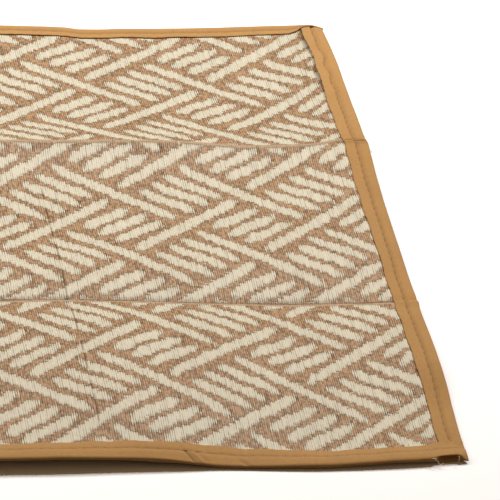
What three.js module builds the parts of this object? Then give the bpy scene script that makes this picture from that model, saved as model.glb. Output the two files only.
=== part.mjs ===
// Picnic mat: a sheet woven of flat straws, folded into three panels and bound all round with
// sewn cotton tape. It lies open on the ground as it came out of its fold: a ridge stands
// between the back panel and the middle one, a valley lies between the middle panel and the
// front one, and the front panel bows up before its edge comes down again.
//
// Millimetres, +X along the mat, +Y away from the front edge, +Z up. The origin is on the
// ground, under the centre of the mat's box.

import * as THREE from 'three';

// Driving dimensions
const MAT_LENGTH = 1800;
const MAT_WIDTH = 600;
const PANEL = MAT_WIDTH / 3;
const WEAVE_THICKNESS = 1.6;
const TAPE_THICKNESS = 1.0;
const SEWN_GAP = 0.3;
const SIDE_TAPE_WIDTH = 20;
const FRONT_TAPE_WIDTH = 18;
const BACK_TAPE_WIDTH = 14.5;
const VALLEY_Y = -100;

// The tape's bend round the edge, and how far inside the tape the weave settles on the ground
const BEND_INNER = WEAVE_THICKNESS / 2 + SEWN_GAP;
const BEND_OUTER = BEND_INNER + TAPE_THICKNESS;
const SETTLE = 30;

// Lines that run the length of the mat, by their distance from the front edge along the sheet
const LINE_AT = {
  hem: 0, lap: 18, shoulder: 60, crown: 110, fall: 165, valley: PANEL,
  rise: 222, lip: 250, belly: 300, brow: 360, ridge: 2 * PANEL,
  drop: 425, slope: 455, foot: 495, flat: 540, tail: MAT_WIDTH,
};
const PANEL_LINES = [
  ['hem', 'lap', 'shoulder', 'crown', 'fall', 'valley'],
  ['valley', 'rise', 'lip', 'belly', 'brow', 'ridge'],
  ['ridge', 'drop', 'slope', 'foot', 'flat', 'tail'],
];

// How far each line is lifted from where it would lie flat, one row for each section across the
// mat, by the section's distance from the right edge. sway moves a section front or back.
const FRONT_PANEL = [
  { fromRight: 0, sway: 3, hem: 3, lap: 0, shoulder: 0, crown: 7.5, fall: 4, valley: 1 },
  { fromRight: 50, sway: 0, hem: 3, lap: 1, shoulder: 1, crown: 4.5, fall: 5, valley: 0.5 },
  { fromRight: 110, sway: -2.5, hem: 1.5, lap: 0, shoulder: 4.5, crown: 6, fall: 6, valley: 1 },
  { fromRight: 180, sway: -2, hem: 0, lap: 2.5, shoulder: 10.5, crown: 12.5, fall: 10, valley: 3 },
  { fromRight: 250, sway: 0, hem: 6.5, lap: 9, shoulder: 15.5, crown: 15, fall: 11.5, valley: 3.5 },
  { fromRight: 320, sway: 1, hem: 8.5, lap: 8, shoulder: 11.5, crown: 12.5, fall: 10, valley: 4 },
  { fromRight: 400, sway: 0.5, hem: 8.5, lap: 6, shoulder: 8.5, crown: 9.5, fall: 6.5, valley: 0.5 },
  { fromRight: 700, sway: 0, hem: 6, lap: 5, shoulder: 8, crown: 10, fall: 6, valley: 0 },
  { fromRight: 1100, sway: 0, hem: 4, lap: 4, shoulder: 9, crown: 11, fall: 7, valley: 0 },
  { fromRight: 1500, sway: 0, hem: 3, lap: 3, shoulder: 7, crown: 9, fall: 6, valley: 0 },
  { fromRight: 1800, sway: 0, hem: 2, lap: 1, shoulder: 3, crown: 6, fall: 4, valley: 0 },
];
const MIDDLE_PANEL = [
  { fromRight: 0, rise: 0.5, lip: 2, belly: 6, brow: 11, ridge: 15 },
  { fromRight: 50, rise: 2.5, lip: 7.5, belly: 8, brow: 8.5, ridge: 13 },
  { fromRight: 110, rise: 4, lip: 8, belly: 7, brow: 8, ridge: 14.5 },
  { fromRight: 180, rise: 6, lip: 8, belly: 7, brow: 9, ridge: 18.5 },
  { fromRight: 250, rise: 6.5, lip: 8, belly: 5, brow: 7.5, ridge: 17.5 },
  { fromRight: 320, rise: 6.5, lip: 8, belly: 4, brow: 7, ridge: 15.5 },
  { fromRight: 400, rise: 5, lip: 7, belly: 4, brow: 7, ridge: 12.5 },
  { fromRight: 700, rise: 3, lip: 5, belly: 5, brow: 8, ridge: 14 },
  { fromRight: 1100, rise: 3, lip: 6, belly: 5, brow: 7, ridge: 13 },
  { fromRight: 1500, rise: 2, lip: 5, belly: 5, brow: 8, ridge: 14 },
  { fromRight: 1800, rise: 1, lip: 3, belly: 5, brow: 9, ridge: 13 },
];
const BACK_PANEL = [
  { fromRight: 0, drop: 12.5, slope: 10.5, foot: 9, flat: 6, tail: 0.5 },
  { fromRight: 50, drop: 8, slope: 4.5, foot: 2.5, flat: 2.5, tail: 0 },
  { fromRight: 110, drop: 9, slope: 4, foot: 1, flat: 0, tail: 0 },
  { fromRight: 180, drop: 11, slope: 6, foot: 1.5, flat: 0, tail: 0 },
  { fromRight: 250, drop: 10.5, slope: 4, foot: 1, flat: 0, tail: 0 },
  { fromRight: 320, drop: 8.5, slope: 2, foot: 0, flat: 0, tail: 0 },
  { fromRight: 400, drop: 7, slope: 2, foot: 0, flat: 0, tail: 0.5 },
  { fromRight: 700, drop: 8, slope: 3, foot: 0, flat: 0, tail: 0 },
  { fromRight: 1100, drop: 7, slope: 2, foot: 0, flat: 0, tail: 0 },
  { fromRight: 1500, drop: 8, slope: 3, foot: 0, flat: 0, tail: 0 },
  { fromRight: 1800, drop: 9, slope: 5, foot: 3, flat: 1, tail: 0 },
];
const FOLD_TABLES = [FRONT_PANEL, MIDDLE_PANEL, BACK_PANEL];

// Where the solids have their cross-sections and their rows, closest where the folds turn
const SECTIONS_FROM_RIGHT = [
  50, 80, 110, 145, 180, 215, 250, 285, 320, 360, 400, 450, 510, 600, 700, 830, 960, 1100,
  1230, 1360, 1500, 1600, 1700,
];
const ROWS_ALONG = [
  38, 60, 85, 110, 138, 165, 184, 200, 211, 222, 236, 250, 275, 300, 330, 360, 380, 400, 412,
  425, 440, 455, 475, 495, 518, 540, 562,
];
const NORMAL_REACH = 2;
const WALK_STEP = 2;
const BEND_STEPS = 4;

const STRAW = new THREE.MeshStandardMaterial({ color: 0xcbb795, roughness: 0.55, metalness: 0 });
const COTTON = new THREE.MeshStandardMaterial({ color: 0xc1955e, roughness: 0.9, metalness: 0 });

/** A curve through [place, value] knots that never runs past the values on either side. */
function curveThrough(knots) {
  const spans = knots.slice(1).map(([place, value], i) => {
    const width = place - knots[i][0];
    return { width, slope: (value - knots[i][1]) / width };
  });
  const slopes = knots.map((knot, i) => {
    const before = spans[i - 1];
    const after = spans[i];
    if (!before || !after) {
      return (before ?? after).slope;
    }
    const product = before.slope * after.slope;
    return product > 0 ? (2 * product) / (before.slope + after.slope) : 0;
  });
  return (place) => {
    let i = 0;
    while (i < spans.length - 1 && place > knots[i + 1][0]) {
      i += 1;
    }
    const t = THREE.MathUtils.clamp((place - knots[i][0]) / spans[i].width, 0, 1);
    const rise = t * t * (3 - 2 * t);
    const leave = t * (1 - t) * (1 - t) * spans[i].width * slopes[i];
    const arrive = t * t * (1 - t) * spans[i].width * slopes[i + 1];
    return THREE.MathUtils.lerp(knots[i][1], knots[i + 1][1], rise) + leave - arrive;
  };
}

/** For each named column of the fold tables, its value at any distance from the right edge. */
function columnCurves() {
  const curves = {};
  for (const table of FOLD_TABLES) {
    const columns = Object.keys(table[0]).filter((name) => name !== 'fromRight');
    for (const name of columns) {
      curves[name] = curveThrough(table.map((row) => [row.fromRight, row[name]]));
    }
  }
  return curves;
}

const columnAt = columnCurves();

/** The height of the sheet's middle where it lies flat: higher in the tape, which wraps under it. */
function flatHeight(fromRight, along) {
  const inside = Math.min(
    fromRight - SIDE_TAPE_WIDTH,
    MAT_LENGTH - SIDE_TAPE_WIDTH - fromRight,
    along - FRONT_TAPE_WIDTH,
    MAT_WIDTH - BACK_TAPE_WIDTH - along,
  );
  const settled = THREE.MathUtils.smoothstep(inside, 0, SETTLE);
  return THREE.MathUtils.lerp(BEND_OUTER, WEAVE_THICKNESS / 2, settled);
}

/** One section across the mat: its height, and its way along the ground from the front edge. */
function sectionAt(fromRight) {
  const panels = PANEL_LINES.map((lines) =>
    curveThrough(lines.map((name) => [LINE_AT[name], columnAt[name](fromRight)])));
  const heightAt = (along) => {
    const panel = Math.min(Math.floor(along / PANEL), panels.length - 1);
    return panels[panel](along) + flatHeight(fromRight, along);
  };
  const walk = [0];
  for (let along = WALK_STEP; along <= MAT_WIDTH; along += WALK_STEP) {
    const climb = heightAt(along) - heightAt(along - WALK_STEP);
    walk.push(walk[walk.length - 1] + Math.sqrt(WALK_STEP ** 2 - climb ** 2));
  }
  const start = VALLEY_Y + columnAt.sway(fromRight) - walk[PANEL / WALK_STEP];
  const placeAt = (along) => {
    const i = Math.min(Math.floor(along / WALK_STEP), walk.length - 2);
    return start + THREE.MathUtils.lerp(walk[i], walk[i + 1], along / WALK_STEP - i);
  };
  return { x: MAT_LENGTH / 2 - fromRight, heightAt, placeAt };
}

/** A point of the sheet, moved off its middle by offset, up or down, square to the section. */
function sheetPoint(section, along, offset) {
  const before = Math.max(along - NORMAL_REACH, 0);
  const after = Math.min(along + NORMAL_REACH, MAT_WIDTH);
  const run = section.placeAt(after) - section.placeAt(before);
  const climb = section.heightAt(after) - section.heightAt(before);
  const scale = offset / Math.hypot(run, climb);
  return new THREE.Vector3(
    section.x,
    section.placeAt(along) - climb * scale,
    section.heightAt(along) + run * scale,
  );
}

/** A closed solid between an outer and an inner grid of points that have the same shape. */
function solidBetween(outer, inner) {
  const rows = outer.length;
  const columns = outer[0].length;
  const points = [...outer.flat(), ...inner.flat()];
  const out = (i, j) => i * columns + j;
  const into = (i, j) => (rows + i) * columns + j;
  const triangles = [];
  // Every bent quad is split the same way over the ground, so that layers keep their gap.
  const quad = (a, b, c, d) => {
    const diagonal = points[c].clone().sub(points[a]);
    if (diagonal.x * diagonal.y > 0) {
      triangles.push(a, b, c, a, c, d);
    } else {
      triangles.push(b, c, d, b, d, a);
    }
  };
  for (let i = 0; i < rows - 1; i += 1) {
    for (let j = 0; j < columns - 1; j += 1) {
      quad(out(i, j), out(i + 1, j), out(i + 1, j + 1), out(i, j + 1));
      quad(into(i, j), into(i, j + 1), into(i + 1, j + 1), into(i + 1, j));
    }
    quad(out(i, 0), into(i, 0), into(i + 1, 0), out(i + 1, 0));
    quad(out(i, columns - 1), out(i + 1, columns - 1), into(i + 1, columns - 1), into(i, columns - 1));
  }
  for (let j = 0; j < columns - 1; j += 1) {
    quad(out(0, j), out(0, j + 1), into(0, j + 1), into(0, j));
    quad(out(rows - 1, j), into(rows - 1, j), into(rows - 1, j + 1), out(rows - 1, j + 1));
  }
  const geometry = new THREE.BufferGeometry();
  geometry.setFromPoints(points);
  geometry.setIndex(triangles);
  geometry.computeVertexNormals();
  return geometry;
}

/** The tape's cross-section from its top edge round the bend to its lower edge, for one radius. */
function tapeProfile(width, radius) {
  const bend = Array.from({ length: BEND_STEPS + 1 }, (_, i) => {
    const angle = Math.PI * (0.5 - i / BEND_STEPS);
    return { inward: BEND_OUTER - radius * Math.cos(angle), offset: radius * Math.sin(angle) };
  });
  return [{ inward: width, offset: radius }, ...bend, { inward: width, offset: -radius }];
}

/** The woven sheet, whose edges stand at the bend of the tape. */
function weaveGeometry() {
  const sides = [
    BEND_OUTER, SIDE_TAPE_WIDTH, ...SECTIONS_FROM_RIGHT, MAT_LENGTH - SIDE_TAPE_WIDTH,
    MAT_LENGTH - BEND_OUTER,
  ];
  const rows = [
    BEND_OUTER, FRONT_TAPE_WIDTH, ...ROWS_ALONG, MAT_WIDTH - BACK_TAPE_WIDTH,
    MAT_WIDTH - BEND_OUTER,
  ];
  const sections = sides.map(sectionAt);
  const face = (offset) => sections.map((section) =>
    rows.map((along) => sheetPoint(section, along, offset)));
  return solidBetween(face(WEAVE_THICKNESS / 2), face(-WEAVE_THICKNESS / 2));
}

/** A tape on the front or the back edge, over the mat's whole length. */
function longTapeGeometry(width, alongFromInward) {
  const sides = [0, SIDE_TAPE_WIDTH, ...SECTIONS_FROM_RIGHT, MAT_LENGTH - SIDE_TAPE_WIDTH, MAT_LENGTH];
  const sections = sides.map(sectionAt);
  const face = (radius) => sections.map((section) =>
    tapeProfile(width, radius).map(({ inward, offset }) =>
      sheetPoint(section, alongFromInward(inward), offset)));
  return solidBetween(face(BEND_OUTER), face(BEND_INNER));
}

/** A tape on the right or the left end, between the front tape and the back one. */
function endTapeGeometry(fromRightOfInward) {
  const rows = [
    FRONT_TAPE_WIDTH + SEWN_GAP, ...ROWS_ALONG, MAT_WIDTH - BACK_TAPE_WIDTH - SEWN_GAP,
  ];
  const face = (radius) => {
    const profile = tapeProfile(SIDE_TAPE_WIDTH, radius).map(({ inward, offset }) => ({
      section: sectionAt(fromRightOfInward(inward)),
      offset,
    }));
    return rows.map((along) =>
      profile.map(({ section, offset }) => sheetPoint(section, along, offset)));
  };
  return solidBetween(face(BEND_OUTER), face(BEND_INNER));
}

/** Turns a solid's faces round where its grid ran the other way, so that they point outwards. */
function facingOut(geometry) {
  const index = geometry.getIndex();
  const corner = new THREE.Vector3();
  const next = new THREE.Vector3();
  const last = new THREE.Vector3();
  const position = geometry.getAttribute('position');
  let volume = 0;
  for (let i = 0; i < index.count; i += 3) {
    corner.fromBufferAttribute(position, index.getX(i));
    next.fromBufferAttribute(position, index.getX(i + 1));
    last.fromBufferAttribute(position, index.getX(i + 2));
    volume += corner.dot(next.cross(last));
  }
  if (volume < 0) {
    index.array.reverse();
    geometry.computeVertexNormals();
  }
  return geometry;
}

/** A named piece of the mat. */
function piece(name, geometry, material) {
  const mesh = new THREE.Mesh(facingOut(geometry), material);
  mesh.name = name;
  return mesh;
}

const mat = new THREE.Group();
mat.add(
  piece('weave', weaveGeometry(), STRAW),
  piece('tape_front', longTapeGeometry(FRONT_TAPE_WIDTH, (inward) => inward), COTTON),
  piece('tape_back', longTapeGeometry(BACK_TAPE_WIDTH, (inward) => MAT_WIDTH - inward), COTTON),
  piece('tape_right', endTapeGeometry((inward) => inward), COTTON),
  piece('tape_left', endTapeGeometry((inward) => MAT_LENGTH - inward), COTTON),
);

export default mat;
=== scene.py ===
"""A long picnic mat woven of flat straws, bound with cotton tape, lying open with its old folds."""

import logging
import math
from dataclasses import dataclass
from enum import Enum
from typing import Callable, Mapping, Sequence

import bmesh
import bpy
import numpy as np
from mathutils import Matrix, Vector


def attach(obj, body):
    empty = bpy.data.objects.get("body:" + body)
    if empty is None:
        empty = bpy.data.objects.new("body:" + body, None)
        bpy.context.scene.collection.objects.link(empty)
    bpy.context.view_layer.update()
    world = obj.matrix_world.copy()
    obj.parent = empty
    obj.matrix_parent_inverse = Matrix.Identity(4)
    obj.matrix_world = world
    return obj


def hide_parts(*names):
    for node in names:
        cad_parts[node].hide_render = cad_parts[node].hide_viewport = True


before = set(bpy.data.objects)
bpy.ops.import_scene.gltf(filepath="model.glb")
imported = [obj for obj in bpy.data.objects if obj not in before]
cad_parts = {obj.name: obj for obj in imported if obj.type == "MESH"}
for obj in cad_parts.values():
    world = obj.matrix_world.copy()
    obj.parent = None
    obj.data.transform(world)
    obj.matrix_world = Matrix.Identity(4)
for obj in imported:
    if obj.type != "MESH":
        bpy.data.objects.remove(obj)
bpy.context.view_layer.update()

LOG = logging.getLogger("picnic_mat")
Array = np.ndarray
Socket = bpy.types.NodeSocket
Colour = tuple[float, float, float, float]
Point = tuple[float, float, float]
Pairs = Sequence[tuple[float, float]]

# Sizes in millimetres, the same as the solids'. from_right is the distance from the right edge, and
# along the distance from the front edge, both measured along the sheet.
MM = 0.001
MAT_LENGTH = 1800.0
MAT_WIDTH = 600.0
PANEL = MAT_WIDTH / 3
WEAVE_HALF = 0.8
TAPE_REACH = 2.1
SIDE_TAPE = 20.0
FRONT_TAPE = 18.0
BACK_TAPE = 14.5
SETTLE = 30.0
VALLEY_Y = -100.0
WALK_STEP = 2.0
SECTION_STEP = 5.0
STITCH_PITCH = 8.0

# The weave: straws side by side, and the repeat of the lattice of bars
STRAWS = 1024
STRAWS_IN_REPEAT = 60
WEFTS_IN_REPEAT = 27
STRAW_PITCH = (MAT_LENGTH - 2 * TAPE_REACH) / STRAWS
REPEAT_ACROSS = STRAWS_IN_REPEAT * STRAW_PITCH
REPEAT_ALONG = 85.3
WEFT_PITCH = REPEAT_ALONG / WEFTS_IN_REPEAT
LATTICE_FROM_RIGHT = 212.3
LATTICE_ALONG = 10.5

LINES_ALONG = {
    "hem": 0, "lap": 18, "shoulder": 60, "crown": 110, "fall": 165, "valley": 200,
    "rise": 222, "lip": 250, "belly": 300, "brow": 360, "ridge": 400,
    "drop": 425, "slope": 455, "foot": 495, "flat": 540, "tail": 600,
}
PANEL_LINES = (
    ("hem", "lap", "shoulder", "crown", "fall", "valley"),
    ("valley", "rise", "lip", "belly", "brow", "ridge"),
    ("ridge", "drop", "slope", "foot", "flat", "tail"),
)

# How far each line is lifted from where it would lie flat, at each section from the right edge.
# sway moves a section front or back.
SECTIONS = (0, 50, 110, 180, 250, 320, 400, 700, 1100, 1500, 1800)
LIFTS = {
    "sway": (3, 0, -2.5, -2, 0, 1, 0.5, 0, 0, 0, 0),
    "hem": (3, 3, 1.5, 0, 6.5, 8.5, 8.5, 6, 4, 3, 2),
    "lap": (0, 1, 0, 2.5, 9, 8, 6, 5, 4, 3, 1),
    "shoulder": (0, 1, 4.5, 10.5, 15.5, 11.5, 8.5, 8, 9, 7, 3),
    "crown": (7.5, 4.5, 6, 12.5, 15, 12.5, 9.5, 10, 11, 9, 6),
    "fall": (4, 5, 6, 10, 11.5, 10, 6.5, 6, 7, 6, 4),
    "valley": (1, 0.5, 1, 3, 3.5, 4, 0.5, 0, 0, 0, 0),
    "rise": (0.5, 2.5, 4, 6, 6.5, 6.5, 5, 3, 3, 2, 1),
    "lip": (2, 7.5, 8, 8, 8, 8, 7, 5, 6, 5, 3),
    "belly": (6, 8, 7, 7, 5, 4, 4, 5, 5, 5, 5),
    "brow": (11, 8.5, 8, 9, 7.5, 7, 7, 8, 7, 8, 9),
    "ridge": (15, 13, 14.5, 18.5, 17.5, 15.5, 12.5, 14, 13, 14, 13),
    "drop": (12.5, 8, 9, 11, 10.5, 8.5, 7, 8, 7, 8, 9),
    "slope": (10.5, 4.5, 4, 6, 4, 2, 2, 3, 2, 3, 5),
    "foot": (9, 2.5, 1, 1.5, 1, 0, 0, 0, 0, 0, 3),
    "flat": (6, 2.5, 0, 0, 0, 0, 0, 0, 0, 0, 1),
    "tail": (0.5, 0, 0, 0, 0, 0, 0.5, 0, 0, 0, 0),
}

# How far the right edge runs inside its straight line, and how far the back edge runs short
RIGHT_EDGE_PLACES = (0, 32, 60, 75, 110, 145, 180, 200, 235, 262, 290, 325, 350, 380, 396, 404,
                     415, 456, 495, 536, 570, 600)
RIGHT_EDGE_WANDER = (2.4, 1.8, 0.5, 0, 1.1, 0.7, 0.3, -0.8, -0.5, 0, 0.8, 1.4, 1.4, 1.0, 0.7, 2.2,
                     1.5, 0.7, 0.7, -0.2, -0.2, 0.2)
BACK_EDGE_PLACES = (0, 60, 100, 127, 160, 180, 192, 205, 215, 230, 253, 300, 420, 700, 1100, 1800)
BACK_EDGE_WANDER = (0, -0.5, 0, 1.3, 1.9, 2.2, 3.8, 4.8, 5.0, 2.6, 1.8, 2.0, 1.0, 0.5, 1.5, 0.5)

# How far the front edge reaches out of its straight line
FRONT_EDGE_PLACES = (0, 30, 60, 94, 120, 160, 180, 200, 216, 232, 246, 258, 270, 292, 314, 334,
                     400, 1800)
FRONT_EDGE_REACH = (2.4, 2.6, 2.8, 2.8, 3.2, 3.0, 2.8, 2.6, 2.6, 2.4, 2.4, 2.4, 2.5, 2.8, 3, 3,
                    3, 3)

# The straws slant a little: how far they stand to the right of their own lines
SLANT_PLACES = (0, 230, 330, 430, 500, 560, 600)
STRAW_SLANT = (2.0, 1.6, 0.6, 0, -2.0, -3.5, -4.0)

# The creases' own shapes: how far each place across them stands off the folds
VALLEY_SHAPE = (-15, -9, -5.8, -4.2, -2.2, -0.2, 1.6, 4.5, 9)
VALLEY_LIFT = (0, 0.5, 1.1, 1.2, 0.0, -1.6, -1.2, -0.4, 0)
RIDGE_SHAPE = (-8, -4, -1.3, 0, 1.7, 3.6, 6.5, 11, 17)
RIDGE_LIFT = (0, 0.15, 0.5, 0.8, 0.6, 0.1, -0.4, -0.3, 0)

# The sheet's slight unevenness: each swell's height, its length and its seed
SWELLS = ((0.5, 95.0, 5), (0.2, 34.0, 8))

# How the two old creases wander off their straight lines
CREASE_SECTIONS = (0, 12, 30, 60, 110, 180, 250, 320, 400, 700, 1100, 1500, 1800)
RIDGE_WANDER = (5, 5.2, 2.3, -0.5, -2.0, -0.7, -2.0, -1.2, -1.2, 1, -1, 1, 0)
VALLEY_WANDER = (-5, -4.2, -2.4, -0.4, 0.2, -0.8, 0.2, -0.8, -0.3, 1, -1, 0.5, 0)


def soft_curve(knots: Array, values: Array, at: Array) -> Array:
    """Reads curves through knots that never run past the values on either side.

    Args:
        knots: Increasing places, shape (k,).
        values: The curves' values at the knots, shape (n, k).
        at: The places to read each curve at, shape (n, m).

    Returns:
        The values there, shape (n, m).
    """
    widths = np.diff(knots)
    secants = np.diff(values, axis=1) / widths
    product = secants[:, :-1] * secants[:, 1:]
    total = np.where(product > 0, secants[:, :-1] + secants[:, 1:], 1.0)
    inner = np.where(product > 0, 2 * product / total, 0.0)
    slopes = np.concatenate([secants[:, :1], inner, secants[:, -1:]], axis=1)
    span = np.clip(np.searchsorted(knots, at) - 1, 0, len(widths) - 1)
    width = widths[span]
    part = np.clip((at - knots[span]) / width, 0.0, 1.0)
    first, last = np.take_along_axis(values, span, 1), np.take_along_axis(values, span + 1, 1)
    leave = part * (1 - part) ** 2 * width * np.take_along_axis(slopes, span, 1)
    arrive = part**2 * (1 - part) * width * np.take_along_axis(slopes, span + 1, 1)
    return first + (last - first) * part**2 * (3 - 2 * part) + leave - arrive


def curve_at(places: Sequence[float], values: Sequence[float], at: Array) -> Array:
    """Reads one soft curve at places of any shape.

    Args:
        places: The knots' places.
        values: The knots' values.
        at: Where to read it.

    Returns:
        The values, in the shape of at.
    """
    knots = np.asarray(places, float)
    level = np.asarray(values, float)[None, :]
    return soft_curve(knots, level, np.asarray(at, float).reshape(1, -1)).reshape(np.shape(at))


def pairs_at(pairs: Pairs, at: Array) -> Array:
    """Reads a soft curve that is given as pairs of a place and a value."""
    return curve_at(*zip(*pairs), at)


def smoothstep(value: Array, low: float, high: float) -> Array:
    """Goes softly from 0 at low to 1 at high."""
    part = np.clip((value - low) / (high - low), 0.0, 1.0)
    return part * part * (3 - 2 * part)


def fall(value: Array, low: float, high: float) -> Array:
    """Goes softly from 1 at low to 0 at high."""
    return 1 - smoothstep(value, low, high)


def bell(off: Array, width: float | Array) -> Array:
    """1 at the middle, falling away on both sides over about the width."""
    return np.exp(-((off / width) ** 2))


def ripple(across: Array, along: Array, wavelength: float, seed: int) -> Array:
    """An even, seeded unevenness from 0 to 1 over the sheet.

    Args:
        across: Places one way, in millimetres.
        along: Places the other way.
        wavelength: The usual distance between two swells.
        seed: Which unevenness to make.

    Returns:
        The unevenness at each place.
    """
    chance = np.random.default_rng(seed)
    total = np.zeros(np.broadcast(across, along).shape)
    for _ in range(6):
        turn, start = chance.uniform(0, math.tau, 2)
        reach = wavelength * chance.uniform(0.7, 1.5)
        phase = (across * math.cos(turn) + along * math.sin(turn)) * math.tau / reach + start
        total = total + np.sin(phase)
    return np.clip(0.5 + total / 8.0, 0.0, 1.0)


class Folds:
    """The sheet's middle surface, with the folds of the solids and the finer creases on them."""

    def __init__(self) -> None:
        """Measures each section's way along the ground once."""
        self.sections = np.arange(0.0, MAT_LENGTH + 1, SECTION_STEP)
        self.steps = np.arange(0.0, MAT_WIDTH + 1, WALK_STEP)
        from_right, along = np.meshgrid(self.sections, self.steps, indexing="ij")
        climb = np.diff(self.fold_height(from_right, along), axis=1)
        stride = np.sqrt(WALK_STEP**2 - climb**2)
        none = np.zeros((len(self.sections), 1))
        walk = np.concatenate([none, np.cumsum(stride, axis=1)], axis=1)
        start = VALLEY_Y + self.column("sway", self.sections) - walk[:, int(PANEL / WALK_STEP)]
        self.ground_lattice = start[:, None] + walk

    @staticmethod
    def column(name: str, from_right: Array) -> Array:
        """The value of one column of the fold table at any distance from the right edge."""
        return curve_at(SECTIONS, LIFTS[name], from_right)

    @staticmethod
    def flat_height(from_right: Array, along: Array) -> Array:
        """The height of the sheet's middle where it lies flat, higher inside the tape."""
        inside = np.minimum(
            np.minimum(from_right - SIDE_TAPE, MAT_LENGTH - SIDE_TAPE - from_right),
            np.minimum(along - FRONT_TAPE, MAT_WIDTH - BACK_TAPE - along),
        )
        return TAPE_REACH + (WEAVE_HALF - TAPE_REACH) * smoothstep(inside, 0.0, SETTLE)

    def fold_height(self, from_right: Array, along: Array) -> Array:
        """The height of the sheet's middle over the ground, without the fine creases."""
        shape = np.broadcast(from_right, along).shape
        place = np.broadcast_to(from_right, shape).ravel()
        way = np.broadcast_to(along, shape).ravel()
        panel = np.clip(np.floor(way / PANEL), 0, 2).astype(int)
        height = np.empty_like(way, dtype=float)
        for number, lines in enumerate(PANEL_LINES):
            here = panel == number
            knots = np.array([LINES_ALONG[name] for name in lines], float)
            values = np.stack([self.column(name, place[here]) for name in lines], axis=1)
            height[here] = soft_curve(knots, values, way[here][:, None])[:, 0]
        return (height + self.flat_height(place, way)).reshape(shape)

    @staticmethod
    def ridge_line(from_right: Array) -> Array:
        """Where the ridge's crease runs, along the sheet."""
        return 2 * PANEL + curve_at(CREASE_SECTIONS, RIDGE_WANDER, from_right)

    @staticmethod
    def valley_line(from_right: Array) -> Array:
        """Where the valley's crease runs, along the sheet."""
        return PANEL + curve_at(CREASE_SECTIONS, VALLEY_WANDER, from_right)

    def relief(self, from_right: Array, along: Array) -> Array:
        """The creases and the slight unevenness that lie over the folds."""
        off_ridge = along - self.ridge_line(from_right)
        off_valley = along - self.valley_line(from_right)
        strength = 0.75 + 0.5 * ripple(from_right, 0.0, 60.0, 3)
        ridge = strength * curve_at(RIDGE_SHAPE, RIDGE_LIFT, off_ridge)
        valley = strength * curve_at(VALLEY_SHAPE, VALLEY_LIFT, off_valley)
        floor = -1.0 - self.column("valley", from_right)
        swell = sum(height * (ripple(from_right, along, length, seed) - 0.5)
                    for height, length, seed in SWELLS)
        edge = -0.5 * smoothstep(along, 560.0, 590.0)
        return ridge + np.maximum(valley, floor) + swell + edge

    @staticmethod
    def settle_edges(from_right: Array, along: Array) -> tuple[Array, Array]:
        """Moves places near the mat's edges to where the worn edges really run.

        Args:
            from_right: Distances from the right edge.
            along: Distances from the front edge.

        Returns:
            Both distances, moved.
        """
        wander = curve_at(RIGHT_EDGE_PLACES, RIGHT_EDGE_WANDER, along)
        moved = from_right + wander * fall(from_right, 18.0, 75.0)
        short = curve_at(BACK_EDGE_PLACES, BACK_EDGE_WANDER, from_right)
        back = short * smoothstep(along, 545.0, 598.0)
        reach = curve_at(FRONT_EDGE_PLACES, FRONT_EDGE_REACH, from_right)
        front = reach * fall(along, 4.0, 44.0)
        return moved, along - back - front

    def ground(self, from_right: Array, along: Array) -> Array:
        """How far along the ground a place of the sheet is."""
        column = np.clip(from_right / SECTION_STEP, 0, len(self.sections) - 1.001)
        row = np.clip(along, 0, MAT_WIDTH) / WALK_STEP
        i, j = column.astype(int), np.minimum(row.astype(int), len(self.steps) - 2)
        u, v = column - i, row - j
        lattice = self.ground_lattice
        near = lattice[i, j] * (1 - v) + lattice[i, j + 1] * v
        far = lattice[i + 1, j] * (1 - v) + lattice[i + 1, j + 1] * v
        return near * (1 - u) + far * u + along - np.clip(along, 0, MAT_WIDTH)

    def height(self, from_right: Array, along: Array) -> Array:
        """The height of the sheet's middle with its creases."""
        return self.fold_height(from_right, along) + self.relief(from_right, along)

    def place(self, from_right: Array, along: Array, lift: Array) -> Array:
        """Points on or off the sheet.

        Args:
            from_right: Distances from the right edge.
            along: Distances from the front edge.
            lift: Distances off the sheet's middle, up or down.

        Returns:
            The points in metres, shape (n, 3).
        """
        from_right, along = self.settle_edges(from_right, along)
        before = np.clip(along - WALK_STEP, 0.0, MAT_WIDTH - 2 * WALK_STEP)
        after = before + 2 * WALK_STEP
        run = self.ground(from_right, after) - self.ground(from_right, before)
        climb = self.height(from_right, after) - self.height(from_right, before)
        scale = lift / np.hypot(run, climb)
        return MM * np.stack([
            MAT_LENGTH / 2 - from_right,
            self.ground(from_right, along) - climb * scale,
            self.height(from_right, along) + run * scale,
        ], axis=-1)


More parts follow.
